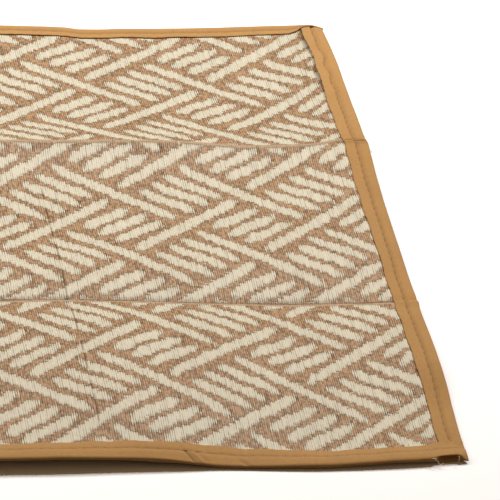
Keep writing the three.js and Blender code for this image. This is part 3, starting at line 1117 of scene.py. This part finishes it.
@dataclass
class WovenSheet:
    """The mat itself: straws side by side across its length, each with its own rounded back."""

    crest: float = 0.92
    groove: float = 0.62
    aside: float = 0.16
    tall: float = 0.06
    under_columns: int = 60
    crease_reach: float = 22.0
    recess: float = 5.8
    rows: tuple[float, ...] = (
        TAPE_REACH, 19, 33, 48, 70, 95, 120, 145, 165, 178, 186, 191, 194.6, 196.4, 198.2, 200,
        201.8, 204.5, 209, 216, 232, 256, 284, 314, 343, 366, 381, 390, 395, 398.6, 400, 401.7,
        403.6, 406.5, 411, 418, 430, 448, 470, 500, 530, 558, 578, MAT_WIDTH - TAPE_REACH,
    )

    def shape(self, grid: Array, folds: Folds) -> tuple[Array, dict[str, Array]]:
        """Moves the grid's points onto the folds.

        Args:
            grid: The grid's own points.
            folds: The sheet's middle surface.

        Returns:
            Their places in metres, and on each map in millimetres.
        """
        top = grid[:, 2] > -0.5
        column = np.round(grid[:, 0] * 2 * STRAWS).astype(int)
        row = np.round(grid[:, 1] * (len(self.rows) - 1)).astype(int)
        chance = np.random.default_rng(11)
        aside = chance.uniform(-self.aside, self.aside, 2 * STRAWS + 1)
        tall = chance.uniform(-self.tall, self.tall, 2 * STRAWS + 1)
        aside[1::2] *= 0.4
        across = TAPE_REACH + grid[:, 0] * STRAWS * STRAW_PITCH
        along = np.array(self.rows)[row]
        from_right = MAT_LENGTH - across - np.where(top, aside[column], 0.0)
        from_right = from_right - curve_at(SLANT_PLACES, STRAW_SLANT, along)
        from_right = np.clip(from_right, TAPE_REACH, MAT_LENGTH - TAPE_REACH)
        near_ridge = bell(along - 2 * PANEL, self.crease_reach)
        near_valley = bell(along - PANEL, self.crease_reach)
        along = along + near_ridge * (folds.ridge_line(from_right) - 2 * PANEL)
        along = along + near_valley * (folds.valley_line(from_right) - PANEL)
        off_creases = np.stack(
            [along - folds.ridge_line(from_right), along - folds.valley_line(from_right)], axis=1)
        crest = np.where(column % 2 == 1, self.crest, self.groove) + tall[column]
        mouth = np.where(top, fall(from_right, 22.0, 27.0), fall(from_right, 33.0, 61.0))
        inside = along + self.recess * mouth * fall(along, 2.2, 16.0)
        points = folds.place(from_right, inside, np.where(top, crest, -WEAVE_HALF))
        points[:, 2] = np.maximum(points[:, 2], np.where(top, 0.3, 0.02) * MM)
        return points, {CLOTH_UV: np.stack([across, along], axis=1), CREASE_UV: off_creases}

    def build(self, folds: Folds) -> bpy.types.Object:
        """Builds the sheet as a closed, thin cloth.

        Args:
            folds: The sheet's middle surface.

        Returns:
            The sheet.
        """
        bm = bmesh.new()
        rows = len(self.rows) - 1
        lay_grid(bm, 2 * STRAWS, rows)
        lay_grid(bm, self.under_columns, rows, -1.0)
        for axis, level in ((0, 0.0), (0, 1.0), (1, 0.0), (1, 1.0)):
            bmesh.ops.bridge_loops(bm, edges=[
                edge for edge in bm.edges if len(edge.link_faces) == 1
                and all(abs(vert.co[axis] - level) < 1e-6 for vert in edge.verts)
                and abs(edge.verts[0].co.z - edge.verts[1].co.z) < 0.5])
        bmesh.ops.recalc_face_normals(bm, faces=bm.faces)
        flat = np.array([vert.co[:] for vert in bm.verts])
        sheet = cloth_object("woven_sheet", bm, lambda grid: self.shape(grid, folds))
        self.crease_grooves(sheet.data, flat)
        return sheet

    @staticmethod
    def crease_grooves(mesh: bpy.types.Mesh, flat: Array) -> None:
        """Marks the grooves between straws sharp, so that each straw is rounded on its own.

        Args:
            mesh: The sheet's mesh.
            flat: Its points on the grid that it was laid out as.
        """
        ends = np.empty(len(mesh.edges) * 2, np.int32)
        mesh.edges.foreach_get("vertices", ends)
        ends = ends.reshape(-1, 2)
        column = np.round(flat[:, 0] * 2 * STRAWS).astype(int)
        top = flat[:, 2] > -0.5
        first, second = column[ends[:, 0]], column[ends[:, 1]]
        sharp = (first == second) & (first % 2 == 0) & top[ends[:, 0]] & top[ends[:, 1]]
        marks = mesh.attributes.new("sharp_edge", "BOOLEAN", "EDGE")
        marks.data.foreach_set("value", sharp)
        mesh.update()


class Edge(Enum):
    """The four edges that the tape binds."""

    FRONT = "front"
    BACK = "back"
    RIGHT = "right"
    LEFT = "left"


@dataclass(frozen=True)
class Wrinkle:
    """A short slanting crease in a tape: where it starts and ends, and how deep it is."""

    from_station: float
    from_inward: float
    to_station: float
    to_inward: float
    depth: float
    width: float = 1.3


@dataclass(frozen=True)
class Corners:
    """How far the tapes' ends are moved at the mat's corners, and from how near to the corner."""

    lap_gap: float = 1.2
    lap_reach: float = 26.0
    tuck_along: float = 2.0
    tuck_across: float = 2.6
    tuck_reach: float = 15.0
    tip_out: float = 0.9
    tip_in: float = 0.5
    round_along: float = 7.0
    round_across: float = 4.5
    round_reach: float = 11.0
    side_squash: float = 0.45
    front_mouth: float = 6.0
    front_drop: float = 3.0


@dataclass(frozen=True)
class Relief:
    """How a tape's upper layer departs from lying flat, and how its width wanders.

    beat is the share of a stitch's rhythm in the groove. outer is the rise between the edge and the
    seam, and outer_pull what a tighter seam adds to it. free_rise and free_drop shape the part
    inside the seam, and rim is the step beside it.
    """

    beat: float = 0.20
    hole: float = 0.2
    hole_radius: float = 0.6
    pucker: float = 0.13
    pucker_reach: float = 3.0
    outer: float = 0.40
    outer_pull: float = 0.25
    free_rise: float = 0.12
    free_drop: float = 0.30
    flap_length: float = 17.0
    swell: float = 0.22
    swell_length: float = 26.0
    rim: float = 0.7
    rim_reach: float = 0.9
    rim_fall: float = 0.6
    lip: float = 0.7
    deepest: float = -0.55
    wander: float = 1.4
    wander_length: float = 30.0
    scallop: float = 0.15
    seam_sway_reach: float = 4.0


CORNERS = Corners()
RELIEF = Relief()


@dataclass
class BindingTape:
    """A cotton tape folded round one edge of the mat and sewn through near its middle."""

    edge: Edge
    width: float
    seam: float
    stations: tuple[float, float]
    width_knots: Pairs
    flap_knots: Pairs
    roll_knots: Pairs
    wrinkles: tuple[Wrinkle, ...] = ()
    cloth: float = 0.45
    layer: float = 1.86
    turn: float = 3.2
    groove: float = 0.80
    groove_widths: tuple[float, float] = (2.6, 0.9)
    seam_sway: Pairs = ((0, 0.0), (1800, 0.0))
    seam_pull: Pairs = ((0, 1.0), (1800, 1.0))
    stitch_half: tuple[float, float] = (2.9, 3.4)
    thread_half: tuple[float, float] = (0.36, 0.30)
    seed: int = 1

    def station_list(self) -> Array:
        """The stations along the tape, five to a stitch and closer at the wrinkles."""
        low, high = self.stations
        starts = np.arange(math.floor(low / STITCH_PITCH), math.ceil(high / STITCH_PITCH) + 1)
        even = (starts[:, None] * STITCH_PITCH + np.array([-0.8, 0, 0.8, 2.8, 5.2])).ravel()
        extra = [np.arange(min(w.from_station, w.to_station) - 4,
                           max(w.from_station, w.to_station) + 4, 1.0) for w in self.wrinkles]
        every = np.unique(np.round(np.concatenate([even, [low, high], *extra]), 3))
        every = every[(every >= low) & (every <= high)]
        every = every[np.concatenate([[True], np.diff(every) > 0.3])]
        return every[::-1] if self.edge in (Edge.FRONT, Edge.LEFT) else every

    def profile(self) -> tuple[Array, Array, Array]:
        """The folded section from its lower turned hem, round the edge, to its upper one.

        Returns:
            How far inward each point is, its side, from -1 below to 1 above, and 1 where it lies in
            a turned-under layer and 0 elsewhere.
        """
        top = [TAPE_REACH, 3.4, 4.8, 6.2, 7.6]
        top += [self.seam + off for off in (-1.6, -0.7, 0, 0.5, 1.0, 1.7, 2.8)]
        top += [self.seam + (self.width - self.seam) * part for part in (0.5, 0.75, 0.93)]
        top = sorted({round(min(p, self.width - 0.35), 3) for p in top})
        top.append(self.width - 0.3)
        hem = [self.width - 0.06, self.width - 0.3, self.width - self.turn]
        angles = np.radians((-67, -45, -22, 0, 22, 45, 67))
        bend = [TAPE_REACH - self.layer * math.cos(angle) for angle in angles]
        low = [TAPE_REACH, 4.5, 7.5, self.seam, self.width - 2.5, self.width - 0.3]
        inward = hem[::-1] + low[::-1] + bend + top + hem
        side = ([-1.0] * (len(low) + 3) + [math.sin(angle) for angle in angles]
                + [1.0] * (len(top) + 3))
        turned = [1.0, 1.0, 0.5] + [0.0] * (len(inward) - 6) + [0.5, 1.0, 1.0]
        return np.array(inward), np.array(side), np.array(turned)

    def top_relief(self, station: Array, inward: Array) -> Array:
        """How the upper layer departs from lying flat: its seam, puckers, flap and wrinkles."""
        beat = np.cos(station / STITCH_PITCH * math.tau)
        off_seam = inward - self.seam
        width = np.where(off_seam < 0, *self.groove_widths)
        pull = self.groove * pairs_at(self.seam_pull, station)
        seam = -pull * bell(off_seam, width) * (1 - RELIEF.beat + RELIEF.beat * beat)
        to_hole = np.abs((station / STITCH_PITCH + 0.5) % 1 - 0.5) * STITCH_PITCH
        radius = RELIEF.hole_radius
        seam = seam - RELIEF.hole * bell(off_seam, radius) * bell(to_hole, radius)
        pucker = -RELIEF.pucker * beat * np.exp(-np.abs(off_seam) / RELIEF.pucker_reach)
        outer = RELIEF.outer + RELIEF.outer_pull * pull
        outer = outer * np.sin(np.pi * np.clip(inward / self.seam, 0, 1)) ** 0.7
        free = np.clip(off_seam / (self.width - self.seam), 0, 1)
        outer = outer + RELIEF.free_rise * np.sin(np.pi * free) - RELIEF.free_drop * free
        flap = pairs_at(self.flap_knots, station) * free**1.5
        flap = flap * (0.6 + 0.8 * ripple(station, 0.0, RELIEF.flap_length, self.seed + 20))
        swell = ripple(station, inward * 2.0, RELIEF.swell_length, self.seed + 40) - 0.5
        rim = RELIEF.rim * pull * (1 - bell(np.maximum(off_seam, 0), RELIEF.rim_reach))
        rim = rim * (1 - RELIEF.rim_fall * free)
        total = seam + pucker + outer + flap + RELIEF.swell * swell + rim
        for wrinkle in self.wrinkles:
            total = total + self.wrinkle_relief(wrinkle, station, inward)
        return np.maximum(total, RELIEF.deepest)

    def fold_depth(self, station: Array, inward: Array) -> Array:
        """How deep each place lies in the pressed wrinkles, from 0 to about 1."""
        total = np.zeros_like(station)
        for wrinkle in self.wrinkles:
            total = total + np.maximum(-self.wrinkle_relief(wrinkle, station, inward), 0.0)
        return np.minimum(total, 1.0)

    @staticmethod
    def wrinkle_relief(wrinkle: Wrinkle, station: Array, inward: Array) -> Array:
        """A trough along the wrinkle's line, with a raised lip on its right."""
        run = wrinkle.to_station - wrinkle.from_station
        reach = wrinkle.to_inward - wrinkle.from_inward
        length = math.hypot(run, reach)
        ahead, over = station - wrinkle.from_station, inward - wrinkle.from_inward
        way = (ahead * run + over * reach) / length**2
        off = (ahead * reach - over * run) / length
        fade = smoothstep(way, -0.35, 0.15) * fall(way, 0.85, 1.35)
        trough = bell(off, wrinkle.width)
        lip = bell(off - 2.2 * wrinkle.width, 1.4 * wrinkle.width)
        return fade * wrinkle.depth * (RELIEF.lip * lip - trough)

    def section_points(self, station: Array, inward: Array, side: Array,
                       turned: Array) -> tuple[Array, Array]:
        """Where the tape's points lie on the edge and how far they stand off the sheet.

        Args:
            station: Each point's place along the tape.
            inward: Its distance from the mat's edge, before the tape's own unevenness.
            side: From -1 on the lower layer to 1 on the upper one.
            turned: 1 in a turned-under layer.

        Returns:
            The distance inward, and the lift off the sheet's middle.
        """
        width = pairs_at(self.width_knots, station)
        beat = np.cos(station / STITCH_PITCH * math.tau)
        wander = RELIEF.wander * (ripple(station, 0.0, RELIEF.wander_length, self.seed) - 0.5)
        room = np.clip((width - 8.0) / 6.0, 0, 1)
        width = width + (wander + RELIEF.scallop * beat) * room
        stretch = (width - TAPE_REACH) / (self.width - TAPE_REACH)
        placed = np.where(inward > TAPE_REACH, TAPE_REACH + (inward - TAPE_REACH) * stretch, inward)
        sway = pairs_at(self.seam_sway, station) * bell(
            inward - self.seam, RELIEF.seam_sway_reach)
        placed = placed + sway * (side > 0.5)
        roll = pairs_at(self.roll_knots, station)
        upper = self.layer + self.top_relief(station, inward) * smoothstep(side, 0.2, 1.0)
        lower = self.layer + roll * fall(inward, 3.0, 10.0)
        lift = np.where(side >= 0, upper * side, lower * side)
        lift = lift - np.sign(side) * turned * (self.cloth + 0.03)
        if self.edge is Edge.RIGHT:
            squash = CORNERS.side_squash
            lift = lift * (squash + (1 - squash) * smoothstep(station, 8.0, 18.0))
        if self.edge is Edge.FRONT:
            mouth = smoothstep(station, 5.0, 10.0) * fall(station, 20.0, 27.0)
            placed = placed + CORNERS.front_mouth * mouth * (1 - side**2) * (inward < TAPE_REACH)
            thin = pairs_at(FRONT_END_THIN, station)
            lift = lift * thin * (1 - 0.2 * fall(inward, 2.0, 8.0))
            lift = lift - CORNERS.front_drop * fall(station, 0.0, 7.0) * fall(inward, 0.5, 5.5)
        return placed, lift

    def on_sheet(self, station: Array, inward: Array) -> tuple[Array, Array]:
        """Turns a place on the tape into from_right and along."""
        if self.edge is Edge.FRONT:
            return station, inward
        if self.edge is Edge.BACK:
            return station, MAT_WIDTH - inward
        if self.edge is Edge.RIGHT:
            return inward, station
        return MAT_LENGTH - inward, station

    def adjust(self, from_right: Array, along: Array, inward: Array) -> tuple[Array, Array]:
        """Shapes the corners: where one tape laps another, and where the fold stands open."""
        if self.edge is Edge.RIGHT:
            back = MAT_WIDTH - pairs_at(BACK_WIDTHS, inward) - CORNERS.lap_gap
            low, high = self.stations
            along = along + (back - high) * smoothstep(along, high - CORNERS.lap_reach, high)
            end = fall(along, low, low + CORNERS.tuck_reach)
            along = along + CORNERS.tuck_along * end * fall(inward, 2.0, 9.0)
            from_right = from_right + CORNERS.tuck_across * end * fall(inward, 1.0, 8.0)
        if self.edge is Edge.FRONT:
            near = fall(from_right, 0.0, 12.0)
            tip = fall(inward, 0.5, 5.0)
            from_right = from_right + near * (
                CORNERS.tip_in * fall(inward, 12.0, 20.0) - CORNERS.tip_out * tip)
        near_right = np.clip(1 - from_right / CORNERS.round_reach, 0, 1) ** 2
        along = along - CORNERS.round_along * near_right * smoothstep(
            along, MAT_WIDTH - 18.0, MAT_WIDTH)
        near_back = np.clip(1 - (MAT_WIDTH - along) / CORNERS.round_reach, 0, 1) ** 2
        return from_right + CORNERS.round_across * near_back * fall(from_right, 0.0, 12.0), along

    def on_mat(self, folds: Folds, station: Array, inward: Array, side: Array, turned: Array,
               above: float = 0.0) -> Array:
        """Takes places of the tape to their points on the mat.

        Args:
            folds: The sheet's middle surface.
            station: Each point's place along the tape.
            inward: Its distance from the mat's edge.
            side: From -1 on the lower layer to 1 on the upper one.
            turned: 1 in a turned-under layer.
            above: How far it is lifted off the tape.

        Returns:
            The points in metres, shape (n, 3).
        """
        placed, lift = self.section_points(station, inward, side, turned)
        from_right, along = self.adjust(*self.on_sheet(station, placed), inward)
        return folds.place(from_right, along, lift + above)

    def build(self, folds: Folds) -> bpy.types.Object:
        """Builds the folded tape as a thin cloth with its own thickness.

        Args:
            folds: The sheet's middle surface.

        Returns:
            The tape.
        """
        stations = self.station_list()
        inward, side, turned = self.profile()
        bm = bmesh.new()
        lay_grid(bm, len(stations) - 1, len(inward) - 1)

        def shape(grid: Array) -> tuple[Array, dict[str, Array]]:
            """Moves the grid's points onto the tape's section at each station."""
            at = np.round(grid[:, 0] * (len(stations) - 1)).astype(int)
            point = np.round(grid[:, 1] * (len(inward) - 1)).astype(int)
            station = stations[at]
            points = self.on_mat(folds, station, inward[point], side[point], turned[point])
            points[:, 2] = np.maximum(points[:, 2], (0.03 + self.cloth / 2) * MM)
            steps = np.hypot(np.diff(inward), np.diff(self.layer * side))
            over = np.concatenate([[0.0], np.cumsum(steps)])
            off_seam = np.where(side > 0.5, inward - self.seam, NO_SEAM)
            depth = self.fold_depth(station, inward[point]) * np.clip(side[point], 0, 1)
            return points, {CLOTH_UV: np.stack([station, over[point]], axis=1),
                            SEAM_UV: np.stack([station, off_seam[point]], axis=1),
                            FOLD_UV: np.stack([depth, depth], axis=1)}

        tape = cloth_object(f"binding_tape_{self.edge.value}", bm, shape)
        body = tape.modifiers.new("Cloth thickness", "SOLIDIFY")
        body.thickness = self.cloth * MM
        body.offset = 0.0
        return tape

    def stitches(self, folds: Folds) -> bpy.types.Object:
        """Lays a stitch between each two needle holes along the seam.

        Args:
            folds: The sheet's middle surface.

        Returns:
            All the stitches as one piece.
        """
        low, high = self.stations
        first, last = math.ceil(low / STITCH_PITCH), math.floor(high / STITCH_PITCH)
        middles = (np.arange(first, last) + 0.5) * STITCH_PITCH
        chance = np.random.default_rng(self.seed + 60)
        half = chance.uniform(*self.stitch_half, len(middles))
        slant = chance.uniform(-0.25, 0.25, len(middles))
        top, flat = np.ones(len(middles)), np.zeros(len(middles))
        spots = [
            self.on_mat(folds, middles + way * half, self.seam + 0.2 + way * slant, top, flat,
                        self.cloth / 2 + 0.08 + lift)
            for way, lift in ((-1.0, 0.0), (1.0, 0.0), (0.0, 1.0))]
        bm = bmesh.new()
        for start, end, above in zip(*spots):
            middle = Vector((start + end) / 2)
            length = Vector(end - start)
            ahead = length.normalized()
            up = (Vector(above) - middle).normalized()
            aside = up.cross(ahead).normalized()
            turn = Matrix((ahead, aside, ahead.cross(aside))).transposed().to_4x4()
            wide, high_up = (half * MM for half in self.thread_half)
            size = Matrix.Diagonal((length.length / 2, wide, high_up, 1.0))
            bmesh.ops.create_uvsphere(
                bm, u_segments=6, v_segments=6, radius=1.0,
                matrix=Matrix.Translation(middle) @ turn @ size)
        return link_mesh(f"stitches_{self.edge.value}", bm)


# The tapes' widths, how the back one narrows as it turns at the far right corner, and how the
# front one thins at the near right one
FRONT_WIDTHS = ((0, 20.5), (16, 20.5), (23, 20), (29, 18), (40, 17), (75, 16.8), (100, 17),
                (140, 17.5), (170, 18), (200, 18.5), (225, 18), (260, 17.5), (340, 17),
                (1780, 17.5), (1800, 20))
FRONT_END_THIN = ((0, 0.40), (2.2, 0.68), (4, 0.8), (8, 1), (1800, 1))
BACK_WIDTHS = ((0, 4), (10, 4.5), (18, 6.5), (26, 12), (33, 14.5), (1800, 14.5))
LEVEL = ((0, 0.0), (1800, 0.0))

TAPES = (
    BindingTape(
        Edge.FRONT, FRONT_TAPE, 10.5, (0.0, MAT_LENGTH), FRONT_WIDTHS,
        flap_knots=((0, 0.5), (18, 0.5), (24, 0.1), (40, 0.0), (1774, 0.0), (1784, 0.5),
                    (1800, 0.5)),
        roll_knots=((0, 0.0), (4, 0.6), (10, 2.6), (20, 2.9), (28, 1.6), (40, 1.0), (60, 0.3),
                    (94, 0.3), (118, 1.1), (130, 0.3), (150, -0.4), (178, 0.1), (190, -0.5),
                    (216, -0.5), (224, 0.4), (240, 2.4), (255, 1.2), (275, 0.2), (400, 0.1),
                    (1800, 0.1)),
        wrinkles=(Wrinkle(219, 9.5, 212.5, 0.5, 0.8, 1.0), Wrinkle(215, 8.5, 209, 0.5, 0.6, 0.8),
                  Wrinkle(224, 14, 216, 9, 0.25, 1.6), Wrinkle(210, 10, 204, 4, 0.35, 1.2),
                  Wrinkle(178, 6, 172, 0.5, 0.55, 1.1)),
        groove=0.24, groove_widths=(1.5, 0.9), seed=1),
    BindingTape(
        Edge.BACK, BACK_TAPE, 8.5, (0.0, MAT_LENGTH), BACK_WIDTHS,
        flap_knots=((0, 0.3), (8, 1.2), (20, 1.4), (28, 0.5), (36, 0), (1800, 0)), roll_knots=LEVEL,
        seed=2),
    BindingTape(
        Edge.RIGHT, SIDE_TAPE, 11.0, (7.0, MAT_WIDTH - BACK_TAPE - 0.3),
        ((0, 19.5), (300, 20), (470, 20), (500, 19.2), (518, 20.8), (536, 19.2), (556, 20.6),
         (600, 19.5)),
        flap_knots=((0, -0.3), (18, -0.3), (24, 0), (450, 0), (475, 0.8), (500, 1.6), (520, 2.8),
                    (540, 1.6), (560, 2.5), (580, 1.2), (600, 0.6)),
        roll_knots=LEVEL,
        wrinkles=(Wrinkle(401.5, 19, 398.5, 1, 1.1, 0.9), Wrinkle(407, 15, 404.5, 3, 0.3, 0.9),
                  Wrinkle(411.5, 14, 409.5, 3, 0.3, 0.9), Wrinkle(195, 19, 193, 2, 0.35)),
        seam_sway=((0, 0), (60, 0.4), (120, -0.4), (200, 0.4), (300, -0.3), (390, 0.3), (470, 0),
                   (484, -0.8), (498, 0.8), (512, -1.1), (526, 1.1), (541, -1.2), (556, 1.0),
                   (570, -0.5), (600, 0)),
        seam_pull=((0, 1), (400, 1.2), (460, 1.4), (500, 2.2), (560, 2.2), (600, 1.3)), seed=3),
    BindingTape(
        Edge.LEFT, SIDE_TAPE, 11.0, (7.0, MAT_WIDTH - BACK_TAPE - 0.3),
        ((0, 20), (600, 20)), flap_knots=((0, -0.3), (18, -0.3), (24, 0), (600, 0.2)),
        roll_knots=LEVEL, wrinkles=(Wrinkle(401, 19, 399, 2, 0.8, 1.1),), seed=4),
)


@dataclass(frozen=True)
class LooseThreads:
    """The pale thread ends that hang out of the near right corner and at the ridge."""

    thickness: float = 0.56

    def strands(self) -> Sequence[Sequence[Point]]:
        """Each strand's points, in millimetres."""
        return (
            ((868.2, -301.8, 7.2), (870.2, -302.6, 7.6), (871.6, -302.4, 7.0), (870.4, -302.8, 6.3),
             (872.6, -303.2, 5.4), (873.4, -303.4, 3.8), (874.6, -303.6, 2.6), (876.2, -303.5, 2.9),
             (877.2, -303.0, 3.9)),
            ((889.1, -300.4, 8.4), (889.5, -301.6, 7.0), (889.2, -302.0, 5.2),
             (889.8, -302.2, 3.6)),
            ((898.6, 91.0, 16.2), (900.2, 90.4, 15.6), (901.0, 89.2, 14.6)),
        )

    def build(self) -> bpy.types.Object:
        """Builds the strands as fine tubes.

        Returns:
            All the strands as one piece.
        """
        bm = bmesh.new()
        for strand in self.strands():
            self.tube(bm, [Vector(point) * MM for point in strand])
        bmesh.ops.recalc_face_normals(bm, faces=bm.faces)
        return link_mesh("loose_threads", bm)

    def tube(self, bm: bmesh.types.BMesh, knots: list[Vector]) -> None:
        """Extrudes a ring along a soft line through the knots.

        Args:
            bm: The mesh to add it to.
            knots: The points that the line passes through, in metres.
        """
        at = np.linspace(0, len(knots) - 1, 6 * (len(knots) - 1) + 1)
        places = np.arange(len(knots))
        axes = np.array([knot[:] for knot in knots])
        line = [Vector(point) for point in np.stack(
            [curve_at(places, axes[:, axis], at) for axis in range(3)], axis=1)]
        ahead = [(line[min(i + 1, len(line) - 1)] - line[max(i - 1, 0)]).normalized()
                 for i in range(len(line))]
        turn = ahead[0].to_track_quat("Z", "Y").to_matrix().to_4x4()
        ring = bmesh.ops.create_circle(
            bm, cap_ends=True, segments=6, radius=self.thickness / 2 * MM,
            matrix=Matrix.Translation(line[0]) @ turn)["verts"]
        edges = list({edge for vert in ring for edge in vert.link_edges})
        for i in range(1, len(line)):
            made = bmesh.ops.extrude_edge_only(bm, edges=edges)["geom"]
            ring = [part for part in made if isinstance(part, bmesh.types.BMVert)]
            edges = [part for part in made if isinstance(part, bmesh.types.BMEdge)]
            bmesh.ops.translate(bm, verts=ring, vec=line[i] - line[i - 1])
            spin = ahead[i - 1].rotation_difference(ahead[i]).to_matrix()
            bmesh.ops.rotate(bm, verts=ring, cent=line[i], matrix=spin)
        bmesh.ops.contextual_create(bm, geom=edges)


@dataclass(frozen=True)
class Studio:
    """The camera at the photo's angle, the soft light from behind and above, and the floor."""

    lens: float = 280.7
    sensor: float = 36.0
    eye: Point = (0.10436, -2.48876, 1.80138)
    right: Point = (0.97645, -0.17449, 0.12685)
    up: Point = (0.00066, 0.59042, 0.80709)
    light_from: Point = (0.42, 0.36, 0.83)
    light_power: float = 1.42
    light_spread: float = 6.0
    sky: float = 0.21
    low_sky: float = 0.035
    sky_rise: tuple[float, float] = (0.10, 0.75)
    strip_from: Point = (0.30, 0.35, 1.0)
    strip_power: float = 17.4
    strip_size: tuple[float, float] = (2.4, 0.25)
    white: Colour = (1.0, 1.0, 1.0, 1.0)
    sky_colour: Colour = (1.0, 0.66, 0.36, 1.0)
    floor_colour: Colour = (0.30, 0.29, 0.27, 1.0)
    floor_size: float = 60.0
    floor_level: float = -0.0002

    def place_camera(self) -> None:
        """Sets the camera up."""
        data = bpy.data.cameras.new("camera")
        data.lens = self.lens
        data.sensor_width = self.sensor
        camera = link("camera", data)
        right, up = Vector(self.right).normalized(), Vector(self.up).normalized()
        back = right.cross(up)
        turn = Matrix((right, back.cross(right), back)).transposed().to_4x4()
        camera.matrix_world = Matrix.Translation(self.eye) @ turn
        bpy.context.scene.camera = camera

    def place_lights(self) -> None:
        """Sets up the soft main light and the low strip light over the back panel."""
        data = bpy.data.lights.new("main_light", "SUN")
        data.energy = self.light_power
        data.angle = math.radians(self.light_spread)
        light = link("main_light", data)
        light.matrix_world = Vector(self.light_from).to_track_quat("Z", "Y").to_matrix().to_4x4()
        strip = bpy.data.lights.new("strip_light", "AREA")
        strip.shape = "RECTANGLE"
        strip.energy = self.strip_power
        strip.size, strip.size_y = self.strip_size
        panel = link("strip_light", strip)
        panel.matrix_world = Matrix.Translation(self.strip_from)
        panel.visible_camera = False

    def raise_sky(self) -> None:
        """Sets up a warm sky, brighter above than in front, which the camera sees as white."""
        world = bpy.data.worlds.new("studio_sky")
        world.use_nodes = True
        bpy.context.scene.world = world
        nodes = Nodes(world.node_tree)
        back = world.node_tree.nodes["Background"]
        up = nodes.split(nodes.add("ShaderNodeTexCoord").outputs["Generated"])[2]
        above = up.ramp(*self.sky_rise, self.low_sky, self.sky)
        seen = self.camera_ray(nodes)
        nodes.feed_named(back, {"Color": nodes.blend(seen, self.sky_colour, self.white),
                                "Strength": seen + (1.0 - seen) * above})

    @staticmethod
    def camera_ray(nodes: Nodes) -> Wire:
        """1 for what the camera sees, and 0 for what only lights the mat."""
        return Wire(nodes, nodes.add("ShaderNodeLightPath").outputs["Is Camera Ray"])

    def lay_floor(self) -> None:
        """Lays a plain floor, which the camera sees as white."""
        bm = bmesh.new()
        bmesh.ops.create_grid(bm, x_segments=4, y_segments=4, size=self.floor_size,
                              matrix=Matrix.Translation((0, 0, self.floor_level)))
        floor = link_mesh("floor", bm)
        finish = Finish("plain_floor", 0.9)
        material, nodes, shader = finish.start()
        colour = nodes.blend(self.camera_ray(nodes), self.floor_colour, self.white)
        nodes.feed_named(shader, {"Base Color": colour, "Roughness": finish.roughness,
                                  "Specular IOR Level": 0.1})
        floor.data.materials.append(material)

    def build(self) -> None:
        """Sets everything up."""
        self.place_camera()
        self.place_lights()
        self.raise_sky()
        self.lay_floor()
        bpy.context.scene.view_settings.view_transform = "Standard"


def main() -> None:
    """Builds the mat piece by piece."""
    logging.basicConfig(level=logging.INFO, format="%(name)s: %(message)s")
    Studio().build()
    folds = Folds()
    straw = StrawFinish("woven_straw", roughness=0.42).make()
    cotton = CottonFinish("cotton_tape", roughness=0.85).make()
    front_cotton = CottonFinish("cotton_tape_front", roughness=0.85, dashed=True).make()
    thread = ThreadFinish("sewing_thread", roughness=0.7).make()
    pale = ThreadFinish("pale_thread", roughness=0.7, colour=(0.78, 0.66, 0.45, 1.0)).make()

    sheet = WovenSheet().build(folds)
    settle(sheet, straw, "weave")

    loose = LooseThreads().build()
    settle(loose, pale)
    for tape in TAPES:
        piece = tape.build(folds)
        dress = front_cotton if tape.edge is Edge.FRONT else cotton
        settle(piece, dress, f"tape_{tape.edge.value}")
        sewn = tape.stitches(folds)
        settle(sewn, thread)


if __name__ == "__main__":
    main()
